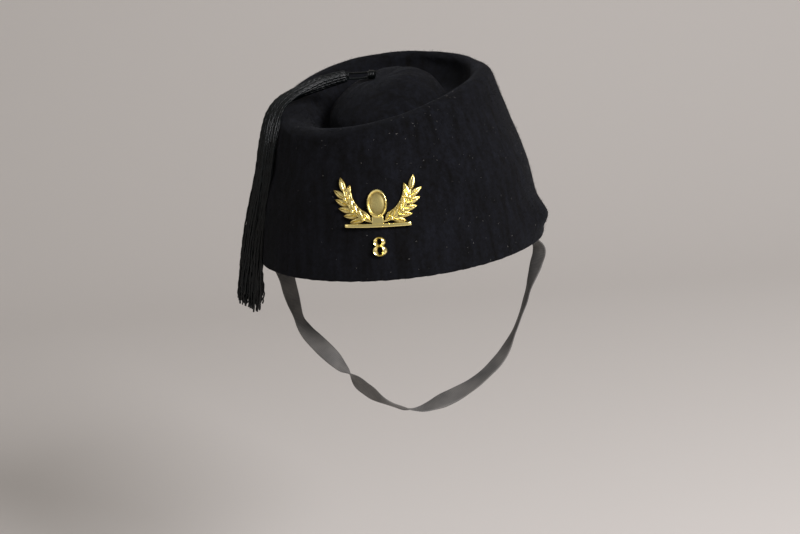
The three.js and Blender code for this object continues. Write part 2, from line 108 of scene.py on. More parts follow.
def smooth_curve(points: np.ndarray, along: np.ndarray, spacing: Spacing) -> np.ndarray:
    """Points on the Catmull-Rom curve through a list of points.

    Each span is the cubic that meets its two ends and takes its slopes there from the
    neighbours on both sides; past the two ends the list is mirrored through its end point.

    Args:
        points: (points, values).
        along: Places on the curve, 0 to 1, of any shape.
        spacing: How the parameter is spent.

    Returns:
        The curve's values, of the shape of along with the values last.
    """
    before, after = 2 * points[:1] - points[1:2], 2 * points[-1:] - points[-2:-1]
    padded = np.concatenate([before, points, after])
    place = np.clip(along, 0, 1) * (len(points) - 1)
    span = np.minimum(place.astype(int), len(points) - 2)
    w = (place - span)[..., None]
    p0, p1, p2, p3 = (padded[span + k] for k in range(4))
    if spacing is Spacing.EVEN:
        slope1, slope2 = (p2 - p0) / 2, (p3 - p1) / 2
    else:
        d0, d1, d2 = (np.sqrt(np.linalg.norm(b - a, axis=-1, keepdims=True))
                      for a, b in ((p0, p1), (p1, p2), (p2, p3)))
        slope1 = ((p1 - p0) / d0 - (p2 - p0) / (d0 + d1) + (p2 - p1) / d1) * d1
        slope2 = ((p2 - p1) / d1 - (p3 - p1) / (d1 + d2) + (p3 - p2) / d2) * d1
    bend = -3 * p1 + 3 * p2 - 2 * slope1 - slope2
    return p1 + w * (slope1 + w * (bend + w * (2 * p1 - 2 * p2 + slope1 + slope2)))


def unit(vectors: np.ndarray) -> np.ndarray:
    """Vectors of length one in the same directions.

    Args:
        vectors: Vectors along the last axis.

    Returns:
        The same array, with each vector of length one.
    """
    return vectors / np.maximum(np.linalg.norm(vectors, axis=-1, keepdims=True), 1e-12)


def dot(a: np.ndarray, b: np.ndarray) -> np.ndarray:
    """The dot products of two arrays of vectors, with their last axis kept.

    Args:
        a: Vectors along the last axis.
        b: Vectors along the last axis.

    Returns:
        The products, with a last axis of one.
    """
    return np.sum(a * b, axis=-1, keepdims=True)


def path_frames(path: np.ndarray, guide: np.ndarray) -> tuple[np.ndarray, np.ndarray]:
    """Two directions square to a path at each of its points.

    The first is the guide made square to the path's tangent, and the second is the tangent
    crossed with the first, so that a ring drawn from the first to the second runs
    counter-clockwise about the path.

    Args:
        path: (..., points, 3).
        guide: A direction that is never parallel to the path, of a shape that fits path.

    Returns:
        The two directions, each shaped like path.
    """
    tangent = unit(np.gradient(path, axis=-2))
    first = unit(guide - dot(guide, tangent) * tangent)
    return first, np.cross(tangent, first)


def round_tubes(path: np.ndarray, guide: np.ndarray, radius: np.ndarray, sides: int) -> np.ndarray:
    """Rings of round tubes along many paths.

    Args:
        path: (tubes, points, 3).
        guide: See path_frames.
        radius: The tube's radius, of a shape that fits (tubes, points).
        sides: Points in a ring.

    Returns:
        Rings, (tubes, points, sides, 3).
    """
    first, second = path_frames(path, guide)
    turn = np.linspace(0, TURN, sides, endpoint=False)[:, None]
    ring = np.cos(turn) * first[..., None, :] + np.sin(turn) * second[..., None, :]
    return path[..., None, :] + np.asarray(radius)[..., None, None] * ring


def skin(name: str, rings: np.ndarray, ends: Ends = Ends.POLES, sharp: float = 180.0) -> bpy.types.Object:
    """A closed surface, or many alike in one mesh, over rings of points.

    The surface is a function of two parameters: the ring, and the place round it. The UV map
    holds the turn round the ring from 0 to 1, and the distance along the rings' middles in
    metres. Rings run counter-clockwise about the direction in which they follow each other,
    which makes the faces point outwards.

    Args:
        name: The object's name.
        rings: (surfaces, rings, sides, 3), in metres.
        ends: How the two ends are closed.
        sharp: Edges that turn by more than this many degrees are shaded sharp.

    Returns:
        The new object, in the scene and riding on the body.
    """
    count, rows, sides, _ = rings.shape
    middles = rings.mean(axis=2)
    steps = np.linalg.norm(np.diff(middles, axis=1, append=middles[:, :1]), axis=2)
    along = np.concatenate([np.zeros((count, 1)), np.cumsum(steps, axis=1)], axis=1)
    number = np.arange(count * rows * sides).reshape(count, rows, sides)
    beside = np.roll(number, -1, axis=2)
    joined = rows if ends is Ends.JOINED else rows - 1
    here, there = np.arange(joined), (np.arange(joined) + 1) % rows
    quads = np.stack([number[:, here], beside[:, here], beside[:, there], number[:, there]], axis=-1)
    u0, v0 = np.arange(sides) / sides, along[:, :joined, None]
    u1, v1 = u0 + 1 / sides, along[:, 1:joined + 1, None]
    corners = np.stack([np.stack(np.broadcast_arrays(u, v), axis=-1)
                        for u, v in ((u0, v0), (u1, v0), (u1, v1), (u0, v1))], axis=-2)
    points, faces, uvs = rings.reshape(-1, 3), quads.reshape(-1, 4).tolist(), [corners.reshape(-1, 2)]
    if ends is Ends.POLES:
        for row, order in ((0, 1), (rows - 1, -1)):
            pole = len(points) + np.repeat(np.arange(count), sides).reshape(count, sides)
            edge = [beside[:, row], number[:, row]][::order]
            faces += np.stack([pole, *edge], axis=-1).reshape(-1, 3).tolist()
            v = np.broadcast_to(along[:, row, None], (count, sides))
            us = [u1, u0][::order]
            fan = [np.stack(np.broadcast_arrays(u, v), axis=-1) for u in ((u0 + u1) / 2, *us)]
            uvs.append(np.stack(fan, axis=-2).reshape(-1, 2))
            points = np.concatenate([points, middles[:, row]])
    mesh = bpy.data.meshes.new(name)
    mesh.from_pydata(points, [], faces)
    mesh.uv_layers.new(name="UVMap").data.foreach_set("uv", np.concatenate(uvs).astype(np.float32).ravel())
    mesh.polygons.foreach_set("use_smooth", np.ones(len(mesh.polygons), bool))
    if sharp < 180:
        mesh.set_sharp_from_angle(angle=math.radians(sharp))
    piece = bpy.data.objects.new(name, mesh)
    bpy.context.scene.collection.objects.link(piece)
    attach(piece, BODY)
    return piece


def joined(name: str, parts: list[bpy.types.Object]) -> bpy.types.Object:
    """Joins pieces into the first of them and gives it a name.

    Args:
        name: Name of the joined piece.
        parts: The pieces; the first one takes in the others.

    Returns:
        The joined piece.
    """
    with bpy.context.temp_override(active_object=parts[0], selected_editable_objects=parts):
        bpy.ops.object.join()
    parts[0].name = parts[0].data.name = name
    return parts[0]


def dress(piece: bpy.types.Object, material: bpy.types.Material, slot: str) -> bpy.types.Object:
    """Gives a piece one material and logs its triangle count with a slot name.

    Args:
        piece: The piece.
        material: Its material.
        slot: The slot's name, which is only logged.

    Returns:
        The same piece.
    """
    piece.data.materials.clear()
    piece.data.materials.append(material)
    triangles = sum(len(face.vertices) - 2 for face in piece.data.polygons)
    LOG.info("%s: %d triangles, slot %s", piece.name, triangles, slot)
    return piece


# ---------------------------------------------------------------- finishes


@dataclass(frozen=True)
class WoolFelt:
    """Pressed wool felt, dyed black and worn: matt, with a short nap and a little lint.

    The eye sees a soft black with no gloss, greyer where the nap catches the light, faint
    upright streaks from brushing, and a fibrous grain.
    """

    black: int = 0x040405
    faded: int = 0x121318
    brown: int = 0x080706
    roughness: float = 0.96
    fibre: float = 0.45 * MM
    felting: float = 2.6 * MM
    streak: float = 5.0 * MM
    patch: float = 38.0 * MM

    def material(self) -> bpy.types.Material:
        """Builds the material: three grains of noise mix the colour, and two raise a bump.

        Returns:
            The material.
        """
        made = bpy.data.materials.new("wool_felt")
        made.use_nodes = True
        tree = made.node_tree
        shader = tree.nodes["Principled BSDF"]
        shader.inputs["Roughness"].default_value = self.roughness
        shader.inputs["Specular IOR Level"].default_value = 0.08
        shader.inputs["Sheen Weight"].default_value = 0.035
        shader.inputs["Sheen Roughness"].default_value = 0.45
        shader.inputs["Sheen Tint"].default_value = linear(0xaab0bd)
        place = add_node(tree, "ShaderNodeTexCoord", {}, {}).outputs["Object"]
        patch = add_node(tree, "ShaderNodeTexNoise", {("Scale",): 1 / self.patch, ("Detail",): 3.0},
                         {"Vector": place})
        upright = add_node(tree, "ShaderNodeMapping", {("Scale",): (1.0, 1.0, 0.12)}, {"Vector": place})
        streak = add_node(tree, "ShaderNodeTexNoise", {("Scale",): 1 / self.streak, ("Detail",): 5.0},
                          {"Vector": upright.outputs[0]})
        felting = add_node(tree, "ShaderNodeTexNoise",
                           {("Scale",): 1 / self.felting, ("Detail",): 6.0, ("Roughness",): 0.7},
                           {"Vector": place})
        fibre = add_node(tree, "ShaderNodeTexNoise",
                         {("Scale",): 1 / self.fibre, ("Detail",): 3.0, ("Distortion",): 1.6},
                         {"Vector": place})
        worn = add_node(tree, "ShaderNodeMath", {"operation": "MULTIPLY"},
                        {0: streak.outputs["Fac"], 1: felting.outputs["Fac"]})
        spread = add_node(tree, "ShaderNodeMapRange",
                          {("From Min",): 0.12, ("From Max",): 0.42}, {"Value": worn.outputs[0]})
        side = add_node(tree, "ShaderNodeMix",
                        {"data_type": "RGBA", (6,): linear(self.black), (7,): linear(self.brown)},
                        {0: patch.outputs["Fac"]})
        colour = add_node(tree, "ShaderNodeMix", {"data_type": "RGBA", (7,): linear(self.faded)},
                          {0: spread.outputs[0], 6: side.outputs[2]})
        tree.links.new(colour.outputs[2], shader.inputs["Base Color"])
        coarse = add_node(tree, "ShaderNodeBump", {("Strength",): 0.5, ("Distance",): 0.5 * MM},
                          {"Height": felting.outputs["Fac"]})
        fine = add_node(tree, "ShaderNodeBump", {("Strength",): 0.6, ("Distance",): 0.18 * MM},
                        {"Height": fibre.outputs["Fac"], "Normal": coarse.outputs[0]})
        tree.links.new(fine.outputs[0], shader.inputs["Normal"])
        return made


@dataclass(frozen=True)
class WoolFibre:
    """Loose wool on the felt's face: the same black, a little paler where light passes through."""

    colour: int = 0x0e0f12
    roughness: float = 0.95

    def material(self) -> bpy.types.Material:
        """Builds the material, with a slow drift of shade from fibre to fibre.

        Returns:
            The material.
        """
        made = bpy.data.materials.new("wool_fibre")
        made.use_nodes = True
        tree = made.node_tree
        shader = tree.nodes["Principled BSDF"]
        shader.inputs["Roughness"].default_value = self.roughness
        shader.inputs["Specular IOR Level"].default_value = 0.1
        place = add_node(tree, "ShaderNodeTexCoord", {}, {}).outputs["Object"]
        drift = add_node(tree, "ShaderNodeTexNoise", {("Scale",): 1 / (4 * MM)}, {"Vector": place})
        colour = add_node(tree, "ShaderNodeMix",
                          {"data_type": "RGBA", (6,): linear(0x050506), (7,): linear(self.colour)},
                          {0: drift.outputs["Fac"]})
        tree.links.new(colour.outputs[2], shader.inputs["Base Color"])
        return made


@dataclass(frozen=True)
class CottonLint:
    """Pale cotton lint and dust caught in the nap: off-white, quite matt."""

    pale: int = 0x6f6c67
    dull: int = 0x2c2b2c

    def material(self) -> bpy.types.Material:
        """Builds the material, paler and duller from fleck to fleck.

        Returns:
            The material.
        """
        made = bpy.data.materials.new("cotton_lint")
        made.use_nodes = True
        tree = made.node_tree
        shader = tree.nodes["Principled BSDF"]
        shader.inputs["Roughness"].default_value = 0.9
        place = add_node(tree, "ShaderNodeTexCoord", {}, {}).outputs["Object"]
        drift = add_node(tree, "ShaderNodeTexNoise", {("Scale",): 1 / (5 * MM)}, {"Vector": place})
        spread = add_node(tree, "ShaderNodeMapRange", {("From Min",): 0.35, ("From Max",): 0.65},
                          {"Value": drift.outputs["Fac"]})
        colour = add_node(tree, "ShaderNodeMix",
                          {"data_type": "RGBA", (6,): linear(self.dull), (7,): linear(self.pale)},
                          {0: spread.outputs[0]})
        tree.links.new(colour.outputs[2], shader.inputs["Base Color"])
        return made


@dataclass(frozen=True)
class ArtificialSilk:
    """Spun viscose thread, dyed black: a hard, cool lustre along each strand."""

    black: int = 0x010202
    cool: int = 0x05090a
    roughness: float = 0.36
    ply: float = 0.9 * MM

    def material(self) -> bpy.types.Material:
        """Builds the material: slanting ply lines on the UV map raise a bump, noise mixes the shade.

        Returns:
            The material.
        """
        made = bpy.data.materials.new("artificial_silk")
        made.use_nodes = True
        tree = made.node_tree
        shader = tree.nodes["Principled BSDF"]
        shader.inputs["Roughness"].default_value = self.roughness
        shader.inputs["Specular IOR Level"].default_value = 0.2
        shader.inputs["Sheen Weight"].default_value = 0.01
        shader.inputs["Sheen Tint"].default_value = linear(0x9fb6b8)
        place = add_node(tree, "ShaderNodeTexCoord", {}, {})
        shade = add_node(tree, "ShaderNodeTexNoise", {("Scale",): 1 / (3.5 * MM), ("Detail",): 2.0},
                         {"Vector": place.outputs["Object"]})
        spread = add_node(tree, "ShaderNodeMapRange", {("From Min",): 0.38, ("From Max",): 0.68},
                          {"Value": shade.outputs["Fac"]})
        colour = add_node(tree, "ShaderNodeMix",
                          {"data_type": "RGBA", (6,): linear(self.black), (7,): linear(self.cool)},
                          {0: spread.outputs[0]})
        tree.links.new(colour.outputs[2], shader.inputs["Base Color"])
        # The wave texture repeats every TURN / 20 of its coordinate, so one ply is one repeat.
        repeat = TURN / 20
        slant = add_node(tree, "ShaderNodeMapping",
                         {("Scale",): (2 * repeat, repeat / self.ply, 1.0)}, {"Vector": place.outputs["UV"]})
        plies = add_node(tree, "ShaderNodeTexWave", {"bands_direction": "DIAGONAL", ("Scale",): 1.0},
                         {"Vector": slant.outputs[0]})
        bump = add_node(tree, "ShaderNodeBump", {("Strength",): 0.35, ("Distance",): 0.12 * MM},
                        {"Height": plies.outputs["Fac"]})
        tree.links.new(bump.outputs[0], shader.inputs["Normal"])
        return made


@dataclass(frozen=True)
class RibbedRibbon:
    """Corded cotton and viscose ribbon, once black: cross ribs with painted shade in their furrows, and a
    warm dark grey where it has faded.
    """

    # black is also the painted shade in the rib furrows; faded is the lighter colour of the rib crests as
    # well as of the real fading.
    black: int = 0x3c3b3a
    faded: int = 0x66635f
    roughness: float = 0.62
    rib: float = 0.9 * MM

    def material(self) -> bpy.types.Material:
        """Builds the material: ribs across the UV map raise a bump, and painted shade darkens their furrows.

        Returns:
            The material.
        """
        made = bpy.data.materials.new("ribbed_ribbon")
        made.use_nodes = True
        tree = made.node_tree
        shader = tree.nodes["Principled BSDF"]
        shader.inputs["Roughness"].default_value = self.roughness
        shader.inputs["Specular IOR Level"].default_value = 0.4
        shader.inputs["Sheen Weight"].default_value = 0.08
        place = add_node(tree, "ShaderNodeTexCoord", {}, {})
        repeat = TURN / 20
        scaled = add_node(tree, "ShaderNodeMapping", {("Scale",): (0.0, repeat / self.rib, 1.0)},
                          {"Vector": place.outputs["UV"]})
        ribs = add_node(tree, "ShaderNodeTexWave",
                        {"bands_direction": "Y", ("Scale",): 1.0, ("Distortion",): 0.4},
                        {"Vector": scaled.outputs[0]})
        patch = add_node(tree, "ShaderNodeTexNoise", {("Scale",): 1 / (14 * MM), ("Detail",): 5.0},
                         {"Vector": place.outputs["Object"]})
        spread = add_node(tree, "ShaderNodeMapRange", {("From Min",): 0.3, ("From Max",): 0.7},
                          {"Value": patch.outputs["Fac"]})
        # Painted shade: the rib wave mixes the furrows towards black and the crests towards the faded grey;
        # the patch noise adds the real fading.
        lift = add_node(tree, "ShaderNodeMath", {"operation": "MULTIPLY_ADD", (1,): 0.35},
                        {0: ribs.outputs["Fac"], 2: spread.outputs[0]})
        share = add_node(tree, "ShaderNodeMapRange", {("From Max",): 1.35}, {"Value": lift.outputs[0]})
        colour = add_node(tree, "ShaderNodeMix",
                          {"data_type": "RGBA", (6,): linear(self.black), (7,): linear(self.faded)},
                          {0: share.outputs[0]})
        tree.links.new(colour.outputs[2], shader.inputs["Base Color"])
        bump = add_node(tree, "ShaderNodeBump", {("Strength",): 0.5, ("Distance",): 0.15 * MM},
                        {"Height": ribs.outputs["Fac"]})
        tree.links.new(bump.outputs[0], shader.inputs["Normal"])
        return made


@dataclass(frozen=True)
class Brass:
    """Stamped brass: gilt and bright, or plain and dull, with tarnish left in the hollows."""

    name: str
    bright: int
    tarnish: int
    roughness: float
    hollow: float = 0.45

    def material(self) -> bpy.types.Material:
        """Builds the material: tarnish where the piece's relief is low, broken up by noise.

        Returns:
            The material.
        """
        made = bpy.data.materials.new(self.name)
        made.use_nodes = True
        tree = made.node_tree
        shader = tree.nodes["Principled BSDF"]
        shader.inputs["Metallic"].default_value = 1.0
        place = add_node(tree, "ShaderNodeTexCoord", {}, {}).outputs["Object"]
        relief = add_node(tree, "ShaderNodeAttribute", {"attribute_name": "relief"}, {})
        grime = add_node(tree, "ShaderNodeTexNoise",
                         {("Scale",): 1 / (1.4 * MM), ("Detail",): 4.0, ("Roughness",): 0.6},
                         {"Vector": place})
        height = add_node(tree, "ShaderNodeMath", {"operation": "MULTIPLY_ADD", (1,): 0.35},
                          {0: grime.outputs["Fac"], 2: relief.outputs["Fac"]})
        raised = add_node(tree, "ShaderNodeMapRange",
                          {("From Min",): self.hollow, ("From Max",): self.hollow + 0.35},
                          {"Value": height.outputs[0]})
        colour = add_node(tree, "ShaderNodeMix",
                          {"data_type": "RGBA", (6,): linear(self.tarnish), (7,): linear(self.bright)},
                          {0: raised.outputs[0]})
        tree.links.new(colour.outputs[2], shader.inputs["Base Color"])
        polish = add_node(tree, "ShaderNodeMapRange",
                          {("To Min",): self.roughness + 0.3, ("To Max",): self.roughness},
                          {"Value": raised.outputs[0]})
        tree.links.new(polish.outputs[0], shader.inputs["Roughness"])
        bump = add_node(tree, "ShaderNodeBump", {("Strength",): 0.25, ("Distance",): 0.1 * MM},
                        {"Height": grime.outputs["Fac"]})
        tree.links.new(bump.outputs[0], shader.inputs["Normal"])
        return made


@dataclass(frozen=True)
class PaintedSweep:
    """Matt emulsion on a seamless sweep: a pale warm grey with no gloss."""

    colour: int = 0xd2cdc8

    def material(self) -> bpy.types.Material:
        """Builds the material, one shade all over with a slight roller stipple.

        Returns:
            The material.
        """
        made = bpy.data.materials.new("painted_sweep")
        made.use_nodes = True
        tree = made.node_tree
        shader = tree.nodes["Principled BSDF"]
        shader.inputs["Base Color"].default_value = linear(self.colour)
        shader.inputs["Roughness"].default_value = 0.9
        place = add_node(tree, "ShaderNodeTexCoord", {}, {}).outputs["Object"]
        stipple = add_node(tree, "ShaderNodeTexNoise", {("Scale",): 1 / (2 * MM)}, {"Vector": place})
        bump = add_node(tree, "ShaderNodeBump", {("Strength",): 0.05, ("Distance",): 0.2 * MM},
                        {"Height": stipple.outputs["Fac"]})
        tree.links.new(bump.outputs[0], shader.inputs["Normal"])
        return made


# ---------------------------------------------------------------- crown


@dataclass
class Crown:
    """The felt crown: a tapered oval wall, a rolled lip, and a sunken, domed tip.

    The outer face is a function of the angle round the hat and the place along a meridian
    that climbs from the rim over the lip, down into the groove and up the dome.
    """

    # half width, half length, centre x, height, rise at the back, rise at the wearer's left
    wall: tuple = (
        (86.0, 100.0, 0.0, 0.0, 0.0, 0.0),
        (84.0, 97.6, -0.2, 18.0, 1.4, 0.6),
        (79.9, 92.9, -0.7, 45.0, 4.5, 2.2),
        (73.3, 87.3, -2.0, 65.4, 7.9, 3.8),
    )
    tip: tuple = (
        (36.9, 55.1, -0.2, 78.4, 6.3, 6.3),
        (31.1, 43.0, -3.2, 89.8, 5.7, 5.7),
        (16.8, 23.1, -3.2, 99.0, 3.5, 3.5),
        (0.0, 0.0, -3.2, 99.6, 0.0, 0.0),
    )
    lip_fold: tuple = (58.1, 73.3, -3.2, 85.9, 11.3, 5.4)
    lip_outer: float = 9.2
    lip_inner: float = 7.0
    lip_roll: float = 9.3
    lip_steps: int = 4
    lip_twist: float = -1.7
    lip_inner_shift: float = 5.0
    # How far the cut edge bulges below the rim, and its unevenness: waves round, size, phase.
    cut_drop: float = 0.45
    cut_waves: tuple = ((47, 0.12, 0.0), (83, 0.1, 1.3), (131, 0.07, 4.0))
    bulge: float = 5.5
    bulge_angle: float = math.radians(-10)
    bulge_spread: float = 0.25
    bulge_height: float = 12.5
    bulge_rise: float = 7.0
    thickness: float = 2.5
    sides: int = 288
    outer_rows: int = 170
    inner_rows: int = 72
    edge_rows: int = 6
    # turns round the hat, climbs up the meridian, depth in mm, phase
    dents: tuple = (
        (2, 1.1, 0.30, 0.4), (3, 2.3, 0.26, 2.1), (5, 3.1, 0.20, 1.0), (8, 5.7, 0.13, 4.2),
        (13, 8.9, 0.09, 5.5), (21, 14.0, 0.05, 0.3), (34, 23.0, 0.035, 2.7),
    )
    rng: np.random.Generator = field(default_factory=lambda: np.random.default_rng(57))

    def sections(self) -> np.ndarray:
        """All sections of the outer face, from the rim to the middle of the tip, in metres.

        Returns:
            One row a section: half width, half length, middle x, height, and the rises to the
            back and to the left.
        """
        turn = np.linspace(0, math.pi, self.lip_steps + 1)
        radius = np.where(np.cos(turn) > 1e-9, self.lip_outer, self.lip_inner) * np.cos(turn)
        lip = np.tile(self.lip_fold, (len(turn), 1))
        lip[:, :2] += radius[:, None]
        lip[:, 3] += self.lip_roll * np.sin(turn)
        shift = self.lip_inner_shift * np.maximum(0, -np.cos(turn))
        lip[:, 0] -= shift
        lip[:, 2] += shift
        return np.concatenate([self.wall, lip, self.tip]) * MM

    def face(self, angle: np.ndarray, along: np.ndarray) -> np.ndarray:
        """Points of the smooth outer face.

        A section is an oval that is tipped by its two rises and twisted a little; sections
        blend along the meridian, and the wall is pushed out over the end of the strap.

        Args:
            angle: From the wearer's left towards the back, in radians.
            along: From 0 at the rim to 1 at the middle of the tip.

        Returns:
            Points, of the broadcast shape with x, y and z last.
        """
        angle, along = np.broadcast_arrays(angle, along)
        half_x, half_y, centre, height, back, left = np.moveaxis(
            smooth_curve(self.sections(), along, Spacing.EVEN), -1, 0)
        twist = self.lip_twist * back / self.lip_fold[4]
        x = centre + half_x * np.cos(angle)
        y = half_y * np.sin(angle)
        z = height + back * np.sin(angle) + left * np.cos(angle) + twist * np.sin(2 * angle)
        away = np.angle(np.exp(1j * (angle - self.bulge_angle)))
        rise = (z / MM - self.bulge_height) / self.bulge_rise
        x = x + self.bulge * MM * np.exp(-((away / self.bulge_spread) ** 2) - rise ** 2)
        return np.stack([x, y, z], axis=-1)

    def front(self, x: np.ndarray, height: np.ndarray) -> tuple[np.ndarray, np.ndarray]:
        """Points and outward directions of the front of the felt at given x and z.

        Angle and meridian place are corrected in turn by what is left of the distance.

        Args:
            x: Places across the front, in metres.
            height: Heights above the rim, in metres.

        Returns:
            Points, and outward directions.
        """
        rounds, radius, row, step = 14, 85 * MM, 22 * MM, 1e-3
        spans = len(self.wall) + self.lip_steps + len(self.tip)
        angle = np.full(np.shape(x), 1.5 * math.pi)
        along = np.full(np.shape(x), 1.5 / spans)
        for _ in range(rounds):
            found = self.face(angle, along)
            angle = angle + (x - found[..., 0]) / radius
            along = along + (height - found[..., 2]) / row / spans
        point = self.face(angle, along)
        beside = self.face(angle + step, along) - point
        above = self.face(angle, along + step) - point
        return point, unit(np.cross(beside, above))

    def worn_face(self, rows: int) -> tuple[np.ndarray, np.ndarray]:
        """The outer face as a grid with its soft dents, and the outward direction at each point.

        The dents are a sum of sine waves in the angle and the meridian place.

        Args:
            rows: How many rings the grid has.

        Returns:
            Points, and outward directions.
        """
        angle = np.linspace(0, TURN, self.sides, endpoint=False)
        along = (np.linspace(0, 1, rows + 1)[:-1])[:, None]
        grid = self.face(angle, along)
        around = np.roll(grid, -1, axis=1) - np.roll(grid, 1, axis=1)
        outward = unit(np.cross(around, np.gradient(grid, axis=0)))
        depth = sum(deep * np.sin(turns * angle + climbs * TURN * along + phase)
                    for turns, climbs, deep, phase in self.dents)
        calm = 1 - 0.8 * np.exp(-((grid[..., 0] / (30 * MM)) ** 2)) * (grid[..., 1] < -60 * MM)
        fade = np.clip((1 - along) * 12, 0, 1)
        return grid + outward * (depth * calm * fade * MM)[..., None], outward

    def shell(self) -> bpy.types.Object:
        """The felt wall: inner face from the top down, the rounded cut edge, outer face upwards.

        Returns:
            The piece.
        """
        outer, _ = self.worn_face(self.outer_rows)
        inner, facing = self.worn_face(self.inner_rows)
        inner = inner - facing * self.thickness * MM
        inner[0, :, 2] = 0
        share = np.linspace(0, 1, self.edge_rows + 2)[1:-1, None, None]
        edge = inner[0] + (outer[0] - inner[0]) * share
        angle = np.linspace(0, TURN, self.sides, endpoint=False)
        rough = sum(size * np.sin(waves * angle + phase) for waves, size, phase in self.cut_waves)
        edge[..., 2] -= (self.cut_drop + rough) * MM * np.sin(math.pi * share[..., 0])
        return skin("felt_crown", np.concatenate([inner[::-1], edge, outer])[None])

    def scattered(self, count: int, low: float, high: float) -> tuple[np.ndarray, np.ndarray, np.ndarray]:
        """Random places on the outer face, even by area.

        Args:
            count: How many places.
            low: Lowest share of the meridian.
            high: Highest share of the meridian.

        Returns:
            Points, outward directions, and directions up the meridian.
        """
        grid, outward = self.worn_face(self.outer_rows)
        first, last = int(low * self.outer_rows), int(high * self.outer_rows) - 1
        beside, above = np.roll(grid, -1, axis=1) - grid, np.roll(grid, -1, axis=0) - grid
        area = np.linalg.norm(np.cross(beside, above), axis=-1)[first:last]
        chosen = self.rng.choice(area.size, count, p=area.ravel() / area.sum())
        row, side = np.divmod(chosen, self.sides)
        row = row + first
        a, b = self.rng.random((2, count, 1))
        point = grid[row, side] + a * beside[row, side] + b * above[row, side]
        return point, outward[row, side], unit(above[row, side])

    def fuzz(self, name: str, count: int, low: float, high: float) -> bpy.types.Object:
        """Short loose fibres: each leaves the felt, leans over and bends down to its tip.

        Args:
            name: Name of the piece.
            count: How many fibres.
            low: Lowest share of the meridian.
            high: Highest share of the meridian.

        Returns:
            The piece.
        """
        point, outward, up = self.scattered(count, low, high)
        length = self.rng.uniform(0.7, 1.9, (count, 1)) * MM
        lean = self.rng.normal(0, 1, (count, 3))
        lean = unit(lean - dot(lean, outward) * outward + 0.3 * up)
        stand = self.rng.uniform(0.25, 0.85, (count, 1))
        share = np.array([-0.15, 0.5, 1.0])[None, :, None]
        path = (point[:, None] + share * (length * stand * outward)[:, None]
                + share ** 2 * (length * lean)[:, None])
        radius = np.array([0.05, 0.04, 0.008])[None] * MM
        guide = unit(np.cross(outward, lean))[:, None]
        return skin(name, round_tubes(path, guide, np.broadcast_to(radius, (count, 3)), 3))

    def lint(self, count: int) -> bpy.types.Object:
        """Pale flecks: short curled bits that lie in the nap, thickest on the front and its left.

        Args:
            count: How many flecks.

        Returns:
            The piece.
        """
        point, outward, up = self.scattered(6 * count, 0.01, 0.5)
        want = 0.12 + np.exp(-((point[:, 0] - 25 * MM) / (38 * MM)) ** 2) * (point[:, 1] < 0)
        kept = self.rng.choice(len(point), count, replace=False, p=want / want.sum())
        point, outward, up = point[kept], outward[kept], up[kept]
        heading = self.rng.uniform(0, TURN, (count, 1))
        along = np.cos(heading) * up + np.sin(heading) * np.cross(outward, up)
        beside = np.cross(outward, along)
        length = self.rng.gamma(1.6, 0.24, (count, 1)) * MM + 0.2 * MM
        curl = self.rng.normal(0, 0.5, (count, 1)) * length
        share = np.linspace(-1, 1, 5)[None, :, None]
        lift = (0.12 + 0.12 * self.rng.random((count, 1))) * MM * outward
        path = (point[:, None] + lift[:, None] + 0.5 * share * (length * along)[:, None]
                + (1 - share ** 2) * (curl * beside)[:, None])
        radius = self.rng.uniform(0.05, 0.12, (count, 1)) * np.array([[0.4, 0.9, 1.0, 0.8, 0.3]]) * MM
        return skin("lint_flecks", round_tubes(path, outward[:, None], radius, 5))


# ---------------------------------------------------------------- tassel, cords and knot


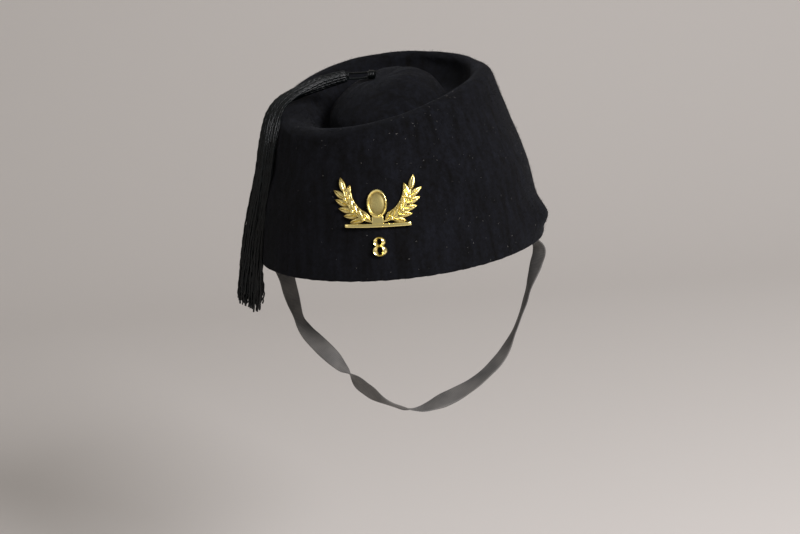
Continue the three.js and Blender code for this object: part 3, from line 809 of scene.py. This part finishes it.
@dataclass
class Tassel:
    """Silk strands looped through the cords, which cross the lip and hang down the side."""

    # x, y, z, half width, half depth
    route: tuple = (
        (-23.6, 0.0, 102.4, 2.6, 2.4), (-24.4, -0.1, 102.3, 3.9, 3.7), (-30.0, -1.2, 101.4, 5.0, 4.2),
        (-38.0, -3.6, 99.7, 5.8, 4.3), (-46.0, -7.2, 98.0, 6.4, 4.2), (-54.5, -12.0, 95.8, 6.8, 3.8),
        (-61.9, -18.1, 92.8, 7.0, 3.5), (-66.9, -24.7, 87.7, 7.2, 3.4), (-69.5, -29.8, 81.1, 7.4, 3.4),
        (-72.1, -33.3, 71.1, 7.6, 3.4), (-75.6, -35.0, 55.0, 7.8, 3.6), (-81.6, -34.5, 34.0, 8.0, 4.2),
        (-87.0, -32.0, 14.0, 8.0, 5.4), (-90.4, -29.5, -2.0, 8.0, 6.4), (-92.8, -27.5, -16.0, 8.2, 7.4),
        (-94.6, -26.0, -27.0, 8.0, 7.4),
    )
    hat_middle: tuple = (0.0, -20.0, 40.0)
    pairs: int = 78
    rows: int = 100
    loop_rows: int = 5
    sides: int = 5
    strand: float = 0.56
    locks: int = 11
    # How much strands are drawn to their lock at the top, how much more by the end, and how far
    # out a lock's middle lies along the felt and off it, as shares of the half sizes.
    draw_top: float = 0.1
    draw_fall: float = 0.25
    lock_side: float = 0.85
    lock_out: float = 0.75
    front_spread: float = 0.42
    slant: float = 0.055
    wrap: float = 3.8
    run: float = 175.0
    crimp: float = 0.16
    crimp_length: float = 5.2
    split: float = 0.9
    split_end: float = 0.2
    loose: tuple = (
        (-84.6, -35.5, 16.0), (-84.9, -36.2, 6.0), (-85.4, -36.6, -4.0), (-86.8, -36.2, -11.0),
        (-88.0, -35.4, -18.0), (-89.3, -34.6, -25.0),
    )
    rng: np.random.Generator = field(default_factory=lambda: np.random.default_rng(33))

    def spine(self, along: np.ndarray) -> tuple[np.ndarray, np.ndarray, np.ndarray, np.ndarray]:
        """The tassel's middle line, its directions along the felt and off it, and its half sizes.

        Args:
            along: Shares of the way from the head to the end.

        Returns:
            Points, directions along the felt, directions off it, and the two half sizes.
        """
        table = np.array(self.route) * MM
        middle = smooth_curve(table[:, :3], along, Spacing.CENTRIPETAL)
        size = smooth_curve(table[:, 3:], along, Spacing.EVEN)
        step = 1e-3
        ahead = smooth_curve(table[:, :3], np.minimum(along + step, 1), Spacing.CENTRIPETAL)
        behind = smooth_curve(table[:, :3], np.maximum(along - step, 0), Spacing.CENTRIPETAL)
        tangent = unit(ahead - behind)
        across = unit(np.cross(middle - np.array(self.hat_middle) * MM, tangent))
        return middle, across, np.cross(tangent, across), size

    def strands(self, name: str) -> bpy.types.Object:
        """Pairs of strands, each pair one thread that turns over at the head.

        A strand's place in the bundle is a point of an oval. It wanders in slow waves, is drawn
        towards its lock's middle as it falls, and is moved off the split line near the head.
        The bundle spreads to the front as it falls, wraps a little round the crown there, and its
        front strands are the longest.

        Args:
            name: Name of the piece.

        Returns:
            The piece.
        """
        n = self.pairs
        side = np.sin(np.pi * (self.rng.random((n, 1, 1)) - 0.5))
        end = 1 - 0.06 * self.rng.random((n, 2, 1)) ** 1.5 - self.slant * (1 - side) / 2
        end = end + 0.02 * (self.rng.random((n, 2, 1)) > 0.9)
        along = np.minimum(np.linspace(0, 1, self.rows) * end, 1.0)
        out = np.sqrt(1 - side ** 2) * self.rng.uniform(0.35, 1.0, (n, 1, 1)) * np.array([1, -1])[:, None]
        lock = self.rng.integers(0, self.locks, (n, 2, 1))
        turn = TURN * (lock + 0.3) / self.locks
        draw = self.draw_top + self.draw_fall * along ** 1.5
        side = side + (self.lock_side * np.cos(turn) - side) * draw * 0.7
        out = out + (self.lock_out * np.sin(turn) - out) * draw
        side = side * (1 + self.front_spread * along * (side > 0))
        for waves, reach in ((1.3, 0.12), (3.1, 0.06), (7.7, 0.03)):
            phase = self.rng.uniform(0, TURN, (2, n, 2, 1))
            side = side + reach * along * np.sin(TURN * waves * along + phase[0])
            out = out + reach * along * np.sin(TURN * waves * along + phase[1])
        fall = np.clip(1 - along / self.split_end, 0, 1)
        middle, across, outward, size = self.spine(along)
        shift = self.split * MM * np.sign(side + 0.12) * np.sqrt(fall)
        thick = 1 - self.strand * MM / size
        length = along * self.run / self.crimp_length
        shake = self.rng.uniform(0, TURN, (2, n, 2, 1))
        side = side + self.crimp * MM / size[..., 0] * np.sin(TURN * length + shake[0])
        out = out + self.crimp * MM / size[..., 1] * np.cos(TURN * length + shake[1])
        hug = self.wrap * MM * np.clip(side, 0, 1.2) ** 2 * np.clip(along / self.split_end - 1, 0, 1)
        path = (middle + (side * size[..., 0] * thick[..., 0] + shift * 0.55)[..., None] * across
                + (out * size[..., 1] * thick[..., 1] - hug)[..., None] * outward)
        upper, lower = path[:, 0], path[:, 1]
        share = np.linspace(0, 1, self.loop_rows + 2)[1:-1, None]
        start = unit(upper[:, :1] - upper[:, 1:2])
        reach = 0.5 * np.linalg.norm(upper[:, :1] - lower[:, :1], axis=-1, keepdims=True)
        over = np.cos(np.pi * share)
        loop = (upper[:, :1] * (1 + over) / 2 + lower[:, :1] * (1 - over) / 2
                + start * reach * np.sin(np.pi * share))
        thread = np.concatenate([upper[:, ::-1], loop, lower], axis=1)
        guide = np.concatenate([across[:, 0, ::-1], np.repeat(across[:, 0, :1], self.loop_rows, axis=1),
                                across[:, 1]], axis=1)
        radius = self.strand * MM * self.rng.uniform(0.75, 1.2, (n, 1)) * np.ones((1, thread.shape[1]))
        return skin(name, round_tubes(thread, guide, radius, self.sides))

    def stray(self) -> bpy.types.Object:
        """The one strand that has left the bundle, from under its inner edge to its own end.

        Returns:
            The piece.
        """
        table = np.array(self.loose) * MM
        path = smooth_curve(table, np.linspace(0, 1, 40), Spacing.CENTRIPETAL)[None]
        radius = np.full((1, 40), 0.5 * MM)
        radius[:, -3:] *= (0.9, 0.75, 0.5)
        return skin("tassel_stray", round_tubes(path, np.array([1.0, 0, 0]), radius, 8))


@dataclass
class Cords:
    """The twin cords from the knot to the tassel, each two plies twisted together."""

    # name of the frame's node, start, end
    runs: tuple = (
        ("tassel_cord_1", (-11.8, 1.3, 103.4), (-22.8, 1.4, 103.9)),
        ("tassel_cord_2", (-11.8, -1.3, 100.7), (-22.8, -1.4, 100.9)),
    )
    radius: float = 0.65
    sag: float = 0.25
    twist: float = 2.2
    rows: int = 60
    sides: int = 18
    overlap: float = 0.08

    def build(self, material: bpy.types.Material) -> None:
        """Builds and dresses both cords.

        The section is a circle whose radius swells and shrinks twice a turn, and it turns once
        for each twist length along the path; the path sags by a parabola.

        Args:
            material: The thread.
        """
        for node, start, end in self.runs:
            along = np.linspace(-self.overlap, 1 + self.overlap, self.rows)[:, None]
            a, b = np.array(start) * MM, np.array(end) * MM
            path = a + (b - a) * along
            path[:, 2] -= 4 * self.sag * MM * (along * (1 - along))[:, 0]
            first, second = path_frames(path, np.array([0, 1.0, 0]))
            length = np.linalg.norm(b - a)
            turn = np.linspace(0, TURN, self.sides, endpoint=False)[None, :, None]
            lay = TURN * along[:, :, None] * length / (self.twist * MM)
            swell = self.radius * MM * (0.8 + 0.2 * np.abs(np.cos(turn - lay)))
            rings = path[:, None] + swell * (np.cos(turn) * first[:, None] + np.sin(turn) * second[:, None])
            piece = skin(f"{node}_twisted", rings[None])
            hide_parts(node)
            dress(piece, material, "silk")


@dataclass
class Knot:
    """Thread wound round the cords' root on the tip, with a frayed end."""

    middle: tuple = (-8.6, 0.0, 101.9)
    length: float = 5.4
    radius: float = 2.9
    thread: float = 0.62
    turns: float = 4.4
    frays: int = 16
    rng: np.random.Generator = field(default_factory=lambda: np.random.default_rng(8))

    def build(self, material: bpy.types.Material) -> None:
        """Builds and dresses the knot: a round core, the winding over it and the frayed bit.

        Args:
            material: The thread.
        """
        middle = np.array(self.middle) * MM
        share = np.linspace(0, 1, 220)
        waist = np.sqrt(np.clip(1 - 0.62 * np.abs(2 * share - 1) ** 3, 0, 1))
        coil = (self.radius - self.thread) * waist * MM
        turn = TURN * self.turns * share
        path = middle + np.stack([(share - 0.5) * (self.length - 2 * self.thread) * MM,
                                  coil * np.cos(turn), coil * np.sin(turn)], axis=-1)
        guide = np.array([1.0, 0, 0])
        winding = skin("winding", round_tubes(path[None], guide, np.full((1, 220), self.thread * MM), 10))
        rows = np.linspace(0, 1, 24)
        fullness = np.sqrt(np.clip(1 - np.abs(2 * rows - 1) ** 3, 0.02, 1))
        core_radius = (self.radius - self.thread) * fullness * MM
        spine = middle + np.stack([(rows - 0.5) * self.length * 0.94 * MM, 0 * rows, 0 * rows], axis=-1)
        core = skin("core", round_tubes(spine[None], np.array([0, 1.0, 0]), core_radius[None], 24))
        n = self.frays
        root = middle + np.array([0.42 * self.length, 0, 0.5 * self.radius]) * MM
        root = root + self.rng.normal(0, 0.5, (n, 1, 3)) * MM
        heading = unit(np.array([1.0, 0, 0.35]) + self.rng.normal(0, 0.35, (n, 1, 3)))
        reach = self.rng.uniform(1.4, 3.4, (n, 1, 1)) * MM
        t = np.linspace(0, 1, 7)[:, None]
        fray = root + heading * reach * t - np.array([0, 0, 0.5]) * reach * t ** 2
        radius = np.broadcast_to(0.13 * MM * (1 - 0.7 * t[:, 0]), (n, 7))
        frayed = skin("fray", round_tubes(fray, np.array([0, 1.0, 0]), radius, 5))
        piece = joined("knot_winding", [winding, core, frayed])
        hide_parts("crown_knot")
        dress(piece, material, "silk")


# ---------------------------------------------------------------- badges


@dataclass
class Badges:
    """The gilt laurel emblem and the figure below it, drawn flat and bent on to the felt.

    A flat drawing's x runs to the wearer's left, its y up and its z off the felt.
    """

    crown: Crown
    centre_x: float = -3.0
    gap: float = 0.6
    bar_height: float = 30.0
    bar_half_length: float = 18.0
    tilt: float = math.radians(-1.6)
    bar_half_height: float = 1.0
    bar_depth: float = 2.2
    shield: tuple = (11.6, 5.6, 7.6)
    shield_rim: float = 1.1
    branch: tuple = ((1.2, 1.6), (8.0, 3.6), (13.6, 7.8), (17.0, 13.2), (18.4, 18.6))
    stem: float = 0.7
    leaf_pairs: int = 6
    leaf_from: float = 0.12
    leaf_to: float = 0.97
    leaf_length: float = 8.0
    leaf_half_width: float = 1.9
    leaf_depth: float = 1.5
    leaf_spread: float = math.radians(38)
    berry: float = 1.15
    figure_height: float = 18.6
    # v of the middle, half width, half height, half width and half height of the counter
    lobes: tuple = ((2.6, 3.5, 2.85, 1.05, 1.6), (-2.2, 4.05, 3.2, 1.25, 1.95))
    posts: tuple = ((-12.0, 30.3), (12.0, 29.7))
    post_radius: float = 0.8
    post_reach: float = 6.6

    def bent(self, name: str, rings: np.ndarray, height: float, ends: Ends = Ends.POLES,
             sharp: float = 50.0) -> bpy.types.Object:
        """Bends flat rings in millimetres on to the front of the felt and skins them.

        Each point stands off the felt by the gap and its own z, along the felt's outward
        direction. The relief attribute keeps that z as a share of the deepest relief.

        Args:
            name: Name of the piece.
            rings: Rings of points as x, y and z in millimetres.
            height: Height of the drawing's y = 0 above the rim, in millimetres.
            ends: How the ends are closed.
            sharp: Angle in degrees past which an edge is sharp.

        Returns:
            The piece.
        """
        x, y, z = np.moveaxis(rings, -1, 0)
        if height == self.bar_height:
            along, up = math.cos(self.tilt), math.sin(self.tilt)
            x, y = x * along - y * up, x * up + y * along
        point, outward = self.crown.front((self.centre_x + x) * MM, (height + y) * MM)
        piece = skin(name, point + outward * ((self.gap + z) * MM)[..., None], ends, sharp)
        heights = z.ravel()
        if ends is Ends.POLES:
            heights = np.concatenate([heights, z[:, 0].mean(axis=-1), z[:, -1].mean(axis=-1)])
        relief = piece.data.attributes.new("relief", "FLOAT", "POINT")
        relief.data.foreach_set("value", (heights / self.bar_depth).astype(np.float32))
        return piece

    def leaf(self, base: np.ndarray, heading: float) -> np.ndarray:
        """Rings of one leaf: a pointed blade with a raised midrib and turned-down edges.

        Along the leaf the half width swells and tapers to a point. A ring runs under the flat
        back and over the front, which is high at the midrib, dips beside it and falls to the edge.

        Args:
            base: Foot of the leaf in the flat drawing.
            heading: Direction of the leaf, in radians.

        Returns:
            Rings of points.
        """
        t = np.linspace(0.015, 0.985, 18)[:, None]
        half = self.leaf_half_width * np.sin(np.pi * t ** 0.8) ** 0.75
        s = np.concatenate([np.linspace(-1, 1, 5), np.linspace(1, -1, 15)[1:-1]])[None]
        front = np.arange(s.size)[None] >= 5
        body = self.leaf_depth * (1 - 0.55 * np.abs(s) ** 1.6) * (0.72 + 0.28 * np.sin(np.pi * t))
        rib = 0.34 * np.exp(-((s / 0.13) ** 2)) - 0.22 * np.exp(-(((np.abs(s) - 0.3) / 0.16) ** 2))
        vein = 0.07 * np.sin(TURN * (5.5 * t - 0.8 * np.abs(s))) * (np.abs(s) > 0.12) * (1 - np.abs(s))
        z = np.where(front, body + rib + vein, 0.0)
        x, y = np.broadcast_to(t * self.leaf_length, z.shape), half * s
        cos, sin = math.cos(heading), math.sin(heading)
        return np.stack([base[0] + x * cos - y * sin, base[1] + x * sin + y * cos, z], axis=-1)

    def emblem(self) -> bpy.types.Object:
        """The bar, the pedestal, the blank oval shield and the two laurel branches.

        Returns:
            The piece.
        """
        parts = [self.bar(), self.pedestal(), self.oval_shield()]
        stems, leaves, berries = [], [], []
        t = np.linspace(0, 1, 30)
        for side in (-1, 1):
            points = np.array(self.branch) * (side, 1)
            curve = smooth_curve(points, np.linspace(0, 1, 400), Spacing.CENTRIPETAL)
            length = np.concatenate([[0], np.cumsum(np.linalg.norm(np.diff(curve, axis=0), axis=1))])
            even = np.stack([np.interp(t * length[-1], length, curve[:, k]) for k in (0, 1)], axis=-1)
            path = np.column_stack([even, np.full(len(t), self.stem)])
            stems.append(round_tubes(path[None], np.array([0, 0, 1.0]),
                                     self.stem * (1 - 0.35 * t)[None], 10)[0])
            for pair in range(self.leaf_pairs + 1):
                along = self.leaf_from + (self.leaf_to - self.leaf_from) * pair / self.leaf_pairs
                base = np.array([np.interp(along, t, even[:, k]) for k in (0, 1)])
                ahead = np.array([np.interp(min(along + 0.02, 1), t, even[:, k]) for k in (0, 1)])
                behind = np.array([np.interp(along - 0.02, t, even[:, k]) for k in (0, 1)])
                heading = math.atan2(*(ahead - behind)[::-1])
                last = pair == self.leaf_pairs
                spreads = (side,) if pair == 0 else (1, -1)
                for turn in (0,) if last else spreads:
                    leaves.append(self.leaf(base, heading + turn * self.leaf_spread))
                if not last and pair % 2 == 1:
                    berries.append(self.ball((*base, self.leaf_depth), self.berry))
        parts.append(self.bent("stems", np.array(stems), self.bar_height))
        parts.append(self.bent("leaves", np.array(leaves), self.bar_height))
        parts.append(self.bent("berries", np.array(berries), self.bar_height))
        parts += [self.post(u, height) for u, height in self.posts]
        return joined("emblem_stamping", parts)

    def ball(self, middle: tuple, radius: float) -> np.ndarray:
        """Rings of a ball, from its left to its right.

        Args:
            middle: Middle of the ball in the flat drawing.
            radius: Its radius.

        Returns:
            Rings of points.
        """
        polar = np.linspace(0.12, math.pi - 0.12, 10)[:, None]
        turn = np.linspace(0, TURN, 14, endpoint=False)
        ring = np.stack(np.broadcast_arrays(-np.cos(polar), np.sin(polar) * np.cos(turn),
                                            np.sin(polar) * np.sin(turn)), axis=-1)
        return np.array(middle) + radius * ring

    def slab(self, half_u: float, low: float, high: float, depth: float, edge: float) -> np.ndarray:
        """Rings of a bar whose front edges are rounded over, carried along u.

        Args:
            half_u: Half length.
            low: Lowest v.
            high: Highest v.
            depth: Height off the back.
            edge: Width of the rounding.

        Returns:
            Rings of points.
        """
        corner = np.linspace(0, math.pi / 2, 5)
        middle, half = (low + high) / 2, (high - low) / 2
        y = np.concatenate([[-half, half], half - edge + edge * np.cos(corner),
                            -half + edge - edge * np.cos(corner[::-1])])
        z = np.concatenate([[0, 0], depth - edge + edge * np.sin(corner),
                            depth - edge + edge * np.sin(corner[::-1])])
        u = np.concatenate([[-half_u, -half_u + 0.3 * edge], np.linspace(-half_u + edge, half_u - edge, 24),
                            [half_u - 0.3 * edge, half_u]])[:, None]
        shrink = np.ones_like(u)
        shrink[[0, -1]], shrink[[1, -2]] = 0.72, 0.92
        across = np.broadcast_to(u, (len(u), len(y)))
        return np.stack([across, middle + y * shrink, z * shrink], axis=-1)[None]

    def bar(self) -> bpy.types.Object:
        """The straight bar under the emblem.

        Returns:
            The piece.
        """
        rings = self.slab(self.bar_half_length, -self.bar_half_height, self.bar_half_height,
                          self.bar_depth, 0.55)
        return self.bent("bar", rings, self.bar_height)

    def pedestal(self) -> bpy.types.Object:
        """The short pedestal that carries the shield."""
        return self.bent("pedestal", self.slab(3.2, 0.0, 5.0, 1.5, 0.4), self.bar_height)

    def oval_shield(self) -> bpy.types.Object:
        """The shield: rings of ovals from the middle of its back, over its rim, to its domed field.

        Returns:
            The piece.
        """
        v, half_u, half_v = self.shield
        rim = self.shield_rim
        # inset from the outline, height off the back
        profile = np.array([[half_u - 0.3, 0], [1.5, 0], [0.05, 0], [0, 0.9], [0.12, 1.6], [0.4, 2.05],
                            [rim * 0.55, 2.15], [rim * 0.9, 1.8], [rim, 1.0], [rim + 0.25, 0.8],
                            [rim + 1.0, 0.95], [rim + 2.2, 1.2], [half_u - 0.4, 1.35]])
        turn = np.linspace(0, TURN, 48, endpoint=False)
        inset, z = profile[:, :1], profile[:, 1:]
        across = (half_u - inset) * np.cos(turn)
        upward = v + (half_v - inset * half_v / half_u) * np.sin(turn)
        rings = np.stack(np.broadcast_arrays(across, upward, z), axis=-1)
        return self.bent("shield", rings[None], self.bar_height)

    def post(self, u: float, height: float) -> bpy.types.Object:
        """A screw post that runs from the back of a badge through the felt.

        Args:
            u: Place across the front from the badges' middle, in millimetres.
            height: Height above the rim, in millimetres.

        Returns:
            The piece.
        """
        point, outward = self.crown.front(np.array((self.centre_x + u) * MM), np.array(height * MM))
        rows = np.linspace(self.gap + 0.9, -self.post_reach, 60)
        path = point + outward * (rows * MM)[:, None]
        thread = (self.post_radius - 0.07 * (np.arange(60) % 2)) * MM
        piece = skin("post", round_tubes(path[None], np.array([0, 0, 1.0]), thread[None], 14))
        piece.data.attributes.new("relief", "FLOAT", "POINT").data.foreach_set(
            "value", np.full(len(piece.data.vertices), 0.6, np.float32))
        return piece

    def figure(self) -> bpy.types.Object:
        """The figure eight: a bevelled band with a sunken middle line, carried round two ovals.

        Across the band, from the counter to the outline, the height climbs a bevel, dips in the
        middle and falls down the outer bevel; underneath it is flat.

        Returns:
            The piece.
        """
        # share of the way from the counter to the outline, height off the back
        profile = np.array([[0.0, 0.0], [0.0, 1.0], [0.1, 1.6], [0.26, 1.95], [0.4, 1.75], [0.5, 1.62],
                            [0.62, 1.75], [0.76, 1.95], [0.9, 1.6], [1.0, 1.0], [1.0, 0.0]])
        turn = np.linspace(0, TURN, 72, endpoint=False)[:, None]
        bands = []
        for v, half_u, half_v, hole_u, hole_v in self.lobes:
            share = profile[:, 0]
            x = (hole_u + (half_u - hole_u) * share) * np.cos(turn)
            y = v + (hole_v + (half_v - hole_v) * share) * np.sin(turn)
            z = np.broadcast_to(profile[:, 1], x.shape)
            bands.append(np.stack([x, y, z], axis=-1))
        lobes = self.bent("lobes", np.array(bands)[:, :, ::-1], self.figure_height, Ends.JOINED)
        return joined("figure_stamping", [lobes, self.post(0.0, self.figure_height + 0.4)])


# ---------------------------------------------------------------- chin strap


@dataclass
class ChinStrap:
    """The ribbon that hangs from the crown's two sides and passes under the chin."""

    # x, y, z, turn in degrees from lying flat on the side of the head towards facing the front
    route: tuple = (
        (-76.4, -21.0, 22.0, 4), (-76.5, -22.0, 12.0, 10), (-73.4, -24.6, 0.0, 38), (-69.0, -27.2, -10.5, 54),
        (-66.4, -31.0, -21.5, 50), (-62.6, -36.4, -34.0, 22), (-58.0, -40.0, -42.5, 34),
        (-49.8, -45.0, -50.6, 58), (-42.6, -49.0, -57.4, 46), (-36.0, -52.0, -64.6, 4),
        (-29.6, -54.8, -70.8, -50), (-22.0, -57.4, -77.0, -60), (-12.4, -59.8, -83.4, -36),
        (-2.0, -61.0, -87.8, -24), (7.8, -60.2, -88.6, 2), (19.0, -57.2, -86.0, 34),
        (30.4, -53.0, -82.4, 40), (43.6, -47.6, -75.8, 24), (55.6, -41.4, -66.2, 26),
        (64.0, -35.4, -54.2, 10), (71.0, -28.6, -40.0, 8), (75.6, -23.6, -28.6, 14),
        (80.4, -18.8, -17.0, 42), (82.8, -17.0, -8.0, 48), (78.5, -15.8, 1.4, 5),
        (78.6, -14.8, 8.0, -2), (77.8, -14.2, 16.0, -2), (76.8, -14.0, 24.0, -4),
    )
    width: float = 10.0
    thickness: float = 0.8
    rows: int = 520
    columns: int = 18
    cup: float = 0.35
    rng: np.random.Generator = field(default_factory=lambda: np.random.default_rng(4))

    def ribbon(self) -> bpy.types.Object:
        """The ribbon: a flat section with thicker selvedges, carried along the route and turned.

        The section's middle line is cupped by a parabola, and soft waves run along its edges.

        Returns:
            The piece.
        """
        table = np.array(self.route)
        t = np.linspace(0, 1, self.rows)
        path = smooth_curve(table[:, :3] * MM, t, Spacing.CENTRIPETAL)
        turn = np.radians(smooth_curve(table[:, 3:], t, Spacing.EVEN))
        level, through = path_frames(path, np.array([0, 1.0, 0]))
        across = np.cos(turn) * level + np.sin(turn) * through
        face = -np.sin(turn) * level + np.cos(turn) * through
        s = np.linspace(-1, 1, self.columns)
        half = self.thickness / 2 * (0.82 + 0.3 * np.exp(-(((np.abs(s) - 0.93) / 0.06) ** 2)))
        half[[0, -1]] *= 0.55
        ring_s = np.concatenate([s, s[::-1]])
        ring_z = np.concatenate([-half, half[::-1]])
        wave = sum(size * np.sin(TURN * waves * t[:, None] + phase + 1.2 * ring_s)
                   for waves, size, phase in ((9, 0.22, 0.3), (17, 0.14, 2.0), (31, 0.07, 4.4)))
        bow = self.cup * (1 - ring_s ** 2) + wave * ring_s ** 2
        shift = (ring_z + bow) * MM
        rings = (path[:, None] + (ring_s * self.width / 2 * MM)[None, :, None] * across[:, None]
                 + shift[..., None] * face[:, None])
        return skin("ribbon_strap", rings[None], sharp=70)


# ---------------------------------------------------------------- studio


@dataclass(frozen=True)
class Studio:
    """The camera, the soft lights and the seamless sweep."""

    azimuth: float = math.radians(5.5)
    elevation: float = math.radians(9.8)
    roll: float = math.radians(-5.5)
    distance: float = 968 * MM
    target: tuple = (0.0, 0.0, 45 * MM)
    aim_right: float = 0.003125
    aim_down: float = 0.0623
    lens: float = 72.0
    # name, place in metres, side of the square in metres, power in watts, colour
    lamps: tuple = (
        ("key", (1.1, -1.1, 0.9), 0.6, 42.0, 0xfcfbff),
        ("fill", (-1.4, -1.0, 0.6), 1.0, 2.5, 0xfff6ee),
        ("top", (0.2, 0.2, 1.7), 1.0, 1.5, 0xf6f9ff),
    )
    floor: float = -0.30
    depth: float = 1.9

    def camera(self) -> None:
        """Places the camera from its angles, with its axis through the middle of the view."""
        data = bpy.data.cameras.new("camera")
        data.lens, data.sensor_width, data.clip_end = self.lens, 36.0, 20.0
        camera = bpy.data.objects.new("camera", data)
        bpy.context.scene.collection.objects.link(camera)
        az, el = self.azimuth, self.elevation
        back = np.array([math.sin(az) * math.cos(el), -math.cos(az) * math.cos(el), math.sin(el)])
        level = np.array([math.cos(az), math.sin(az), 0.0])
        above = np.cross(back, level)
        right = math.cos(self.roll) * level + math.sin(self.roll) * above
        up = np.cross(back, right)
        away = unit(back - self.aim_right * right + self.aim_down * up)
        right = unit(right - right.dot(away) * away)
        turned = np.column_stack([right, np.cross(away, right), away])
        place = Matrix(turned.tolist()).to_4x4()
        place.translation = np.array(self.target) + back * self.distance
        camera.matrix_world = place
        bpy.context.scene.camera = camera

    def sweep(self) -> None:
        """The floor and wall in one sheet, joined by a quarter circle.

        The profile runs along the floor, round the bend and up the wall, and is drawn out sideways.
        """
        near, wide, tall, bend = -3.0, 3.5, 3.0, 0.9
        turn = np.linspace(0, math.pi / 2, 24)
        y = np.concatenate([[near], self.depth - bend + bend * np.sin(turn), [self.depth]])
        z = np.concatenate([[0], bend - bend * np.cos(turn), [tall]]) + self.floor
        x = np.linspace(-wide, wide, 8)
        grid = np.stack(np.broadcast_arrays(x[None], y[:, None], z[:, None]), axis=-1)
        number = np.arange(grid[..., 0].size).reshape(grid.shape[:2])
        faces = np.stack([number[:-1, :-1], number[:-1, 1:], number[1:, 1:], number[1:, :-1]], axis=-1)
        mesh = bpy.data.meshes.new("sweep")
        mesh.from_pydata(grid.reshape(-1, 3), [], faces.reshape(-1, 4).tolist())
        mesh.polygons.foreach_set("use_smooth", np.ones(len(mesh.polygons), bool))
        mesh.materials.append(PaintedSweep().material())
        piece = bpy.data.objects.new("sweep", mesh)
        bpy.context.scene.collection.objects.link(piece)

    def light(self, name: str, place: tuple, size: float, power: float, colour: int) -> None:
        """One square soft light that faces the middle of the hat.

        Args:
            name: Name of the light.
            place: Its middle, in metres.
            size: Side of the square, in metres.
            power: Its power, in watts.
            colour: Its sRGB colour.
        """
        data = bpy.data.lights.new(name, "AREA")
        data.size, data.energy, data.color = size, power, linear(colour)[:3]
        lamp = bpy.data.objects.new(name, data)
        bpy.context.scene.collection.objects.link(lamp)
        away = unit(np.array(place) - np.array(self.target))
        level = unit(np.cross([0, 0, 1.0], away))
        turned = Matrix(np.column_stack([level, np.cross(away, level), away]).tolist()).to_4x4()
        turned.translation = place
        lamp.matrix_world = turned

    def build(self) -> None:
        """Builds the camera, the sweep and the lights."""
        self.camera()
        self.sweep()
        for lamp in self.lamps:
            self.light(*lamp)
        world = bpy.data.worlds.new("studio_air")
        world.use_nodes = True
        world.node_tree.nodes["Background"].inputs[0].default_value = linear(0xf2efec)
        world.node_tree.nodes["Background"].inputs[1].default_value = 0.38
        bpy.context.scene.world = world
        bpy.context.scene.view_settings.view_transform = "Standard"


# ---------------------------------------------------------------- putting it together


def main() -> None:
    """Builds the studio and then every sub-assembly of the fez."""
    logging.basicConfig(level=logging.INFO, format="%(name)s: %(message)s")
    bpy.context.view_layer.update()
    Studio().build()
    silk = ArtificialSilk().material()
    gilt = Brass("gilt_brass", 0xf8e69a, 0x6b5216, 0.2).material()
    plain = Brass("plain_brass", 0xa98f58, 0x5f4d2b, 0.38, hollow=-0.1).material()

    crown = Crown()
    shell = dress(crown.shell(), WoolFelt().material(), "felt")
    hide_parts("crown")
    fibre = WoolFibre().material()
    dress(crown.fuzz("felt_fuzz_wall", count=7500, low=0.0, high=0.36), fibre, "felt")
    dress(crown.fuzz("felt_fuzz_top", count=6500, low=0.3, high=0.98), fibre, "felt")
    dress(crown.lint(count=240), CottonLint().material(), "felt")

    tassel = Tassel()
    strands = dress(tassel.strands("tassel_strands_1"), silk, "silk")
    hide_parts("tassel_skirt")
    dress(tassel.strands("tassel_strands_2"), silk, "silk")
    dress(tassel.stray(), silk, "silk")
    Cords().build(silk)
    Knot().build(silk)

    badges = Badges(crown)
    emblem = dress(badges.emblem(), gilt, "gilt_brass")
    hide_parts("badge_emblem")
    figure = dress(badges.figure(), gilt, "gilt_brass")
    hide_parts("badge_numeral")
    for nut in ("emblem_nut_left", "emblem_nut_right", "numeral_nut"):
        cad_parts[nut].data.materials.clear()
        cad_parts[nut].data.materials.append(plain)

    strap = dress(ChinStrap().ribbon(), RibbedRibbon().material(), "ribbon")
    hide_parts("chin_strap")


if __name__ == "__main__":
    main()
